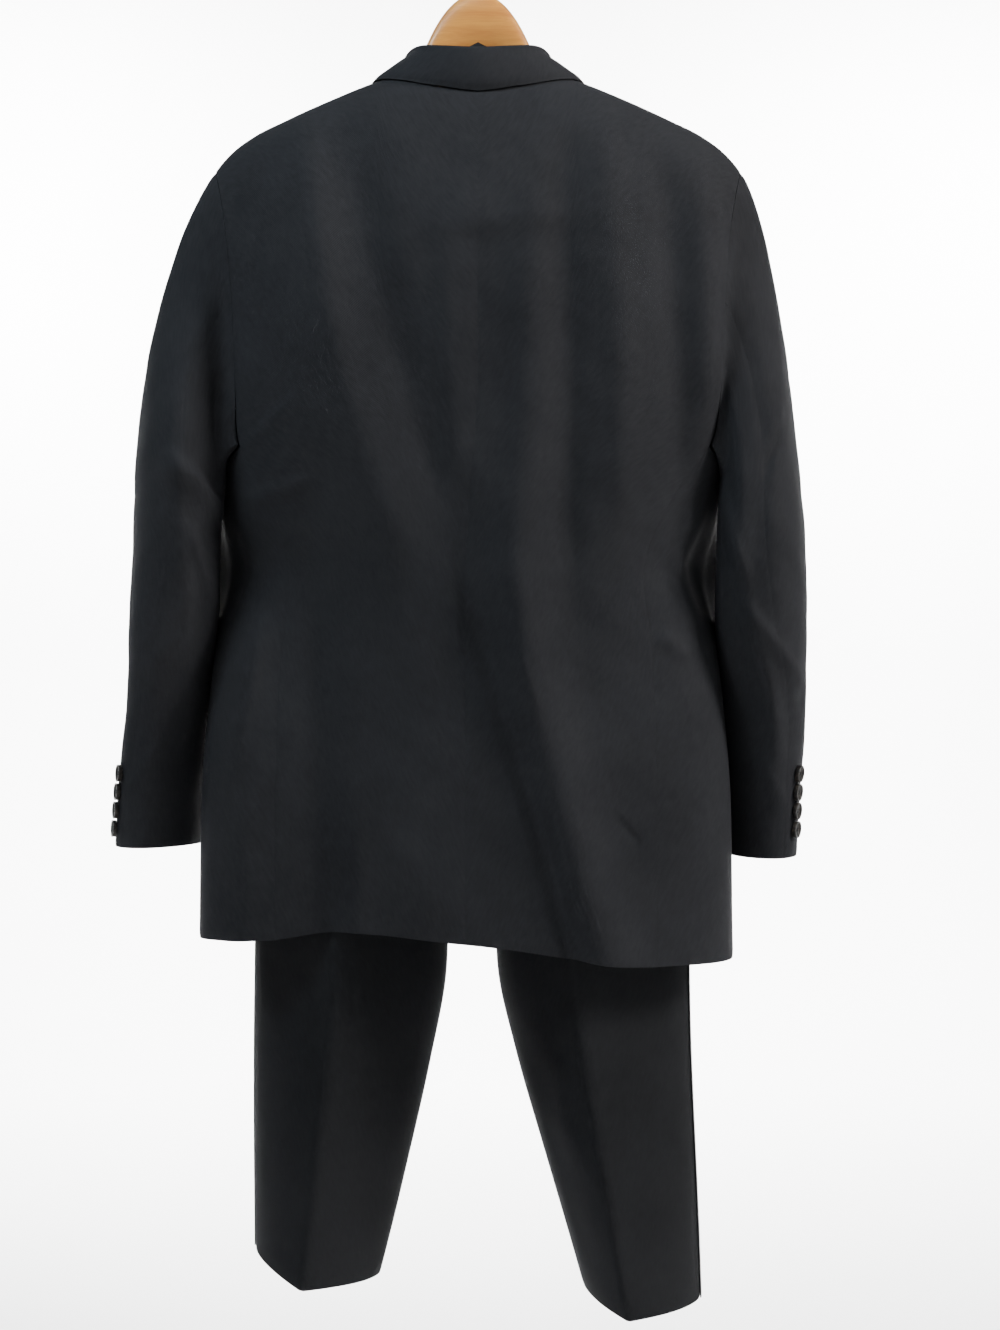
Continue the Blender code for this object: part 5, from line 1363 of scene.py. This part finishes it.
# %% Measurements of the hanger
WOOD = "out top bottom half_thickness"
NECK_OF_HANGER = table(
    WOOD,
    (0.0, -0.0616, -0.118, 0.0085), (0.01, -0.0625, -0.119, 0.0085), (0.017, -0.0668, -0.121, 0.0087),
    (0.027, -0.0758, -0.1265, 0.009), (0.0345, -0.086, -0.132, 0.0093), (0.041, -0.0975, -0.137, 0.0096),
    (0.046, -0.108, -0.1405, 0.0098), (0.054, -0.121, -0.1465, 0.0102), (0.068, -0.1402, -0.1565, 0.0108),
)
ARM_STATIONS = (0.095, 0.125, 0.15, 0.175, 0.192, 0.204)
ARM_HEIGHT = 0.024
ARM_END_THICKNESS = 0.016
WOOD_SQUARENESS = 2.1
WOOD_DIP = 3  # gaps by which the arms lie lower beside the neck
HOOK_WIRE = 0.0019
HOOK_RADIUS = 0.0225
HOOK_END = -28.0
HOOK_START = 250.0
FERRULE_RADIUS = 0.005
FERRULE_HEIGHT = 0.004
BAR_WIRE = 0.002
BAR_LEVEL = -0.2195
BAR_HALF = 0.158
CLIP_OUT = 0.13
CLIP_WIDTH = 0.026
CLIP_BOTTOM = -0.262
CLIP_GAP = 0.0072
LOOP_HALF = 0.024
LOOP_ENDS = -0.1335
LOOP_PEAK = -0.1245
LOOP_BAND = 0.005
LOOP_OUT = 0.0542
LOOP_CURVE = 6.0
ARM_START_THICKNESS = 0.0115
BAR_BEND = 0.006
SHANK = 0.004  # straight part of the hook over the ferrule


def hanger_rows():
    rows = list(NECK_OF_HANGER)
    for out in ARM_STATIONS:
        crest = float(read(SHOULDER_LINE, "level", out))
        top = crest - WALL * 1.12 - (2 + WOOD_DIP * (out < HALF_NECK + 0.020)) * SEAM
        share = (out - ARM_STATIONS[0]) / (ARM_STATIONS[-1] - ARM_STATIONS[0])
        thick = ARM_START_THICKNESS + (ARM_END_THICKNESS - ARM_START_THICKNESS) * share
        rows += table(WOOD, (out, top, top - ARM_HEIGHT, thick))
    return rows


print("hanger read from %d rows" % len(hanger_rows()))

# %% The beech arms
WOOD_SIDES = 40


def wood():
    """The arms: a flat grid rolled up along X, whose rings lie on the rows of the outline."""
    rows = hanger_rows()
    outs = np.concatenate((np.linspace(0.0, 0.068, 40), np.linspace(0.072, rows[-1].out, 60)))
    outs = np.concatenate((-outs[:0:-1], outs))
    arms, i, j = flat_grid("beech_arms", len(outs) - 1, WOOD_SIDES)
    turn = j / WOOD_SIDES * 2 * math.pi
    out = outs[i]
    top, bottom, thick = (read(rows, name, np.abs(out)) for name in WOOD.split()[1:])
    y = thick * signed_power(np.cos(turn), 2.0 / WOOD_SQUARENESS)
    z = (top + bottom) / 2 + (top - bottom) / 2 * signed_power(np.sin(turn), 2.0 / WOOD_SQUARENESS)
    move_points(arms, stack(out, y, z))
    bpy.ops.object.mode_set(mode="EDIT")
    bpy.ops.mesh.select_all(action="SELECT")
    bpy.ops.mesh.remove_doubles(threshold=1e-5)
    bpy.ops.mesh.select_all(action="DESELECT")
    bpy.ops.mesh.select_non_manifold()
    bpy.ops.mesh.edge_face_add()
    bpy.ops.mesh.select_all(action="SELECT")
    bpy.ops.mesh.normals_make_consistent(inside=False)
    bpy.ops.object.mode_set(mode="OBJECT")
    smooth(45.0)
    finished(arms, BEECH, ["hanger_wood"])
    return arms


print("hanger arms: %d faces" % len(wood().data.polygons))

# %% The hook and the bar
def hook_route(start):
    """Straight shank, then a wide turn whose inside top lies on the origin."""
    centre = HOOK_WIRE - HOOK_RADIUS
    first = math.radians(HOOK_START)
    last = math.radians(HOOK_END)
    join_x = HOOK_RADIUS * math.cos(first)
    join_z = centre + HOOK_RADIUS * math.sin(first)
    top = start + SHANK
    route = [(0.0, 0.0, start), (0.0, 0.0, top)]
    route += [(join_x * share ** 2, 0.0, top + (join_z - top) * share) for share in (0.35, 0.7)]
    for turn in np.linspace(first, last, 21):
        route.append((HOOK_RADIUS * math.cos(turn), 0.0, centre + HOOK_RADIUS * math.sin(turn)))
    return route


def bar_route():
    """Rod under the arms, its ends turned up into them."""
    end_out = BAR_HALF + BAR_BEND
    under = float(read(hanger_rows(), "bottom", end_out)) - 4 * SEAM
    half = [(end_out, 0.0, under), (end_out, 0.0, BAR_LEVEL + BAR_BEND)]
    for k in range(1, 5):
        turn = math.pi / 2 * k / 4
        x = BAR_HALF + BAR_BEND * math.cos(turn)
        half.append((x, 0.0, BAR_LEVEL + BAR_BEND - BAR_BEND * math.sin(turn)))
    return half + [(-x, y, z) for x, y, z in half[::-1]]


def rod(name, route, radius, node):
    """A round wire through a smooth line of points, made a mesh."""
    fine = np.linspace(0.0, len(route) - 1.0, (len(route) - 1) * 4 + 1)
    curve = bpy.data.curves.new(name, "CURVE")
    curve.dimensions = "3D"
    curve.bevel_depth = radius
    curve.bevel_resolution = 6
    curve.use_fill_caps = True
    spline = curve.splines.new("POLY")
    spline.points.add(len(fine) - 1)
    for point, place in zip(spline.points, stack(*through(enumerate(route), fine))):
        point.co = (*place.tolist(), 1.0)
    thing = bpy.data.objects.new(name, curve)
    bpy.context.scene.collection.objects.link(thing)
    pick(thing)
    bpy.ops.object.convert(target="MESH")
    smooth(45.0)
    finished(bpy.context.active_object, CHROME, [node])


ferrule_bottom = NECK_OF_HANGER[0].top + SEAM
rod("steel_hook", hook_route(ferrule_bottom + FERRULE_HEIGHT + SEAM), HOOK_WIRE, "hanger_hook")
rod("steel_bar", bar_route(), BAR_WIRE, "trouser_bar")
print("hook and bar bent from wire")

# %% The ferrule
FERRULE_SUNK = 0.00048  # how far it is pressed into the wood
ferrule_middle = (0.0, 0.0, ferrule_bottom + FERRULE_HEIGHT / 2 - FERRULE_SUNK)
ferrule = cylinder("steel_ferrule", 48, FERRULE_RADIUS, FERRULE_HEIGHT, ferrule_middle)
apply_modifier(ferrule, "BEVEL", width=0.0005, segments=3)
smooth(40.0)
finished(ferrule, CHROME, ["hanger_ferrule"])
print("ferrule: %d faces" % len(ferrule.data.polygons))

# %% The clips
CLIP_SHOULDER = BAR_LEVEL - 0.0060  # where a clip's jaws start below the bar
CLIP_PATH = np.concatenate(
    (np.linspace(-2.0, -1.0, 10), np.linspace(-0.95, 0.95, 31), np.linspace(1.0, 2.0, 10)))


def clip_point(side, u, v):
    """u from -2 at the front jaw's end over the bar to 2 at the back jaw's, v along the bar."""
    top = BAR_LEVEL + BAR_WIRE + SEAM + WALL
    turn = np.clip(u, -1.0, 1.0) * math.pi / 2
    z = CLIP_SHOULDER + (top - CLIP_SHOULDER) * np.cos(turn)
    z = z - (np.abs(u) - np.clip(np.abs(u), 0.0, 1.0)) * (CLIP_SHOULDER - CLIP_BOTTOM)
    return stack(side * CLIP_OUT + CLIP_WIDTH * (v - 0.5), (CLIP_GAP + WALL) * np.sin(turn), z)


def clip_axis(points):
    return stack(points[..., 0], 0.0, np.minimum(points[..., 2], CLIP_SHOULDER))


for side, name in NAMES.items():
    clip, size = lay_sheet("spring_clip_" + name, partial(clip_point, side), CLIP_PATH,
                           np.linspace(0.0, 1.0, 9), clip_axis, (0, 0, 0, 0))
    apply_modifier(clip, "BEVEL", width=0.0003, segments=2, limit_method="ANGLE")
    finished(clip, CHROME, ["trouser_clip_" + name])
print("clips bent from strips %.3f m long" % size[0])

# %% The loop in the collar
def loop_surface(u, v):
    x = LOOP_HALF * u
    peak = np.clip(1.0 - np.abs(u), 0.0, 1.0) ** 1.4
    level = LOOP_ENDS + (LOOP_PEAK - LOOP_ENDS) * peak - LOOP_BAND * v
    return stack(x, LOOP_OUT - LOOP_CURVE * x ** 2, level)


def loop_axis(points):
    return points * np.array((1.0, 0.0, 1.0))


loop, size = lay_sheet("loop_of_braid", loop_surface, np.linspace(-1.0, 1.0, 41),
                       np.linspace(0.0, 1.0, 6), loop_axis, (0, 0, 0.3, 0.3))
finished(loop, SATIN, ["hanger_loop"])
print("loop of braid %.3f m long" % size[0])

# %% [markdown]
# ## Studio
# The floor and the wall behind are one bent sheet of pale paper, so no line shows where they
# meet. A large soft lamp stands high on the side of the wearer's right arm, a weaker one
# opposite fills the shadows, and two more keep the paper bright.

# %% Backdrop
FLOOR_LEVEL = -1.8
PAPER_WIDE = 9.0
PAPER_FAR = -4.2
PAPER_NEAR = 5.0
PAPER_TOP = 4.5
BEND_RADIUS = 1.2
turns = [math.pi / 2 * k / 24 for k in range(25)]
bent = [(PAPER_FAR + BEND_RADIUS * (1.0 - math.sin(turn)), FLOOR_LEVEL + BEND_RADIUS * (1.0 - math.cos(turn)))
        for turn in turns]
profile = np.array([(PAPER_NEAR, FLOOR_LEVEL), *bent, (PAPER_FAR, PAPER_TOP)])
strip, i, j = flat_grid("paper", 1, len(profile) - 1)
move_points(strip, stack((i - 0.5) * PAPER_WIDE, profile[j, 0], profile[j, 1]))
bpy.ops.object.shade_smooth()
material, tree, place = new_material("pale_paper")
tone = ramp(tree, noise(tree, place, 1.2, 3.0), (0.88, 0.88, 0.88), (0.92, 0.92, 0.92), 0.3, 0.7)
strip.data.materials.append(coated(material, Base_Color=tone, Roughness=0.9))
print("paper: %d faces" % len(strip.data.polygons))

# %% Lamps
def lamp(name, place, aim, size, power, tint=(1.0, 1.0, 1.0), spread=180.0):
    """A rectangular lamp at a place, turned towards its aim."""
    data = bpy.data.lights.new(name, "AREA")
    data.shape = "RECTANGLE"
    data.size, data.size_y = size
    data.energy = power
    data.spread = math.radians(spread)
    data.color = tint
    thing = bpy.data.objects.new(name, data)
    bpy.context.scene.collection.objects.link(thing)
    thing.location = place
    way = np.array(aim, dtype=float) - np.array(place, dtype=float)
    level = math.hypot(way[0], way[1])
    thing.rotation_euler = (math.atan2(level, -way[2]), 0.0, math.atan2(-way[0], way[1]))


WARM, COOL, SKY = (1.0, 0.97, 0.95), (0.80, 0.91, 1.0), (0.78, 0.90, 1.0)
lamp("key", (-2.2, 0.80, 0.95), (0.0, 0.0, -0.40), (0.6, 0.9), 121.0, WARM)
lamp("sky", (1.10, 0.70, 0.85), (0.24, 0.0, -0.15), (0.6, 0.5), 7.0, SKY, spread=85.0)
lamp("above", (0.5, 1.3, 1.9), (0.0, 0.0, -0.2), (1.0, 0.7), 12.0, COOL)
lamp("fill", (0.0, 3.3, 0.1), (0.0, 0.0, -0.5), (1.6, 1.2), 3.5)
for side, name in NAMES.items():
    paper_lamp = (side * 2.2, -2.2, 1.4)
    lamp("paper_" + name, paper_lamp, (side * 0.7, -4.2, -0.4), (1.2, 1.6), 520.0, spread=130.0)
world = bpy.data.worlds.new("room")
bpy.context.scene.world = world
world.use_nodes = True
set_inputs(world.node_tree.nodes["Background"], {"Color": (1.0, 1.0, 1.0, 1.0), "Strength": 0.36})
print("lamps:", [thing.name for thing in bpy.data.objects if thing.type == "LIGHT"])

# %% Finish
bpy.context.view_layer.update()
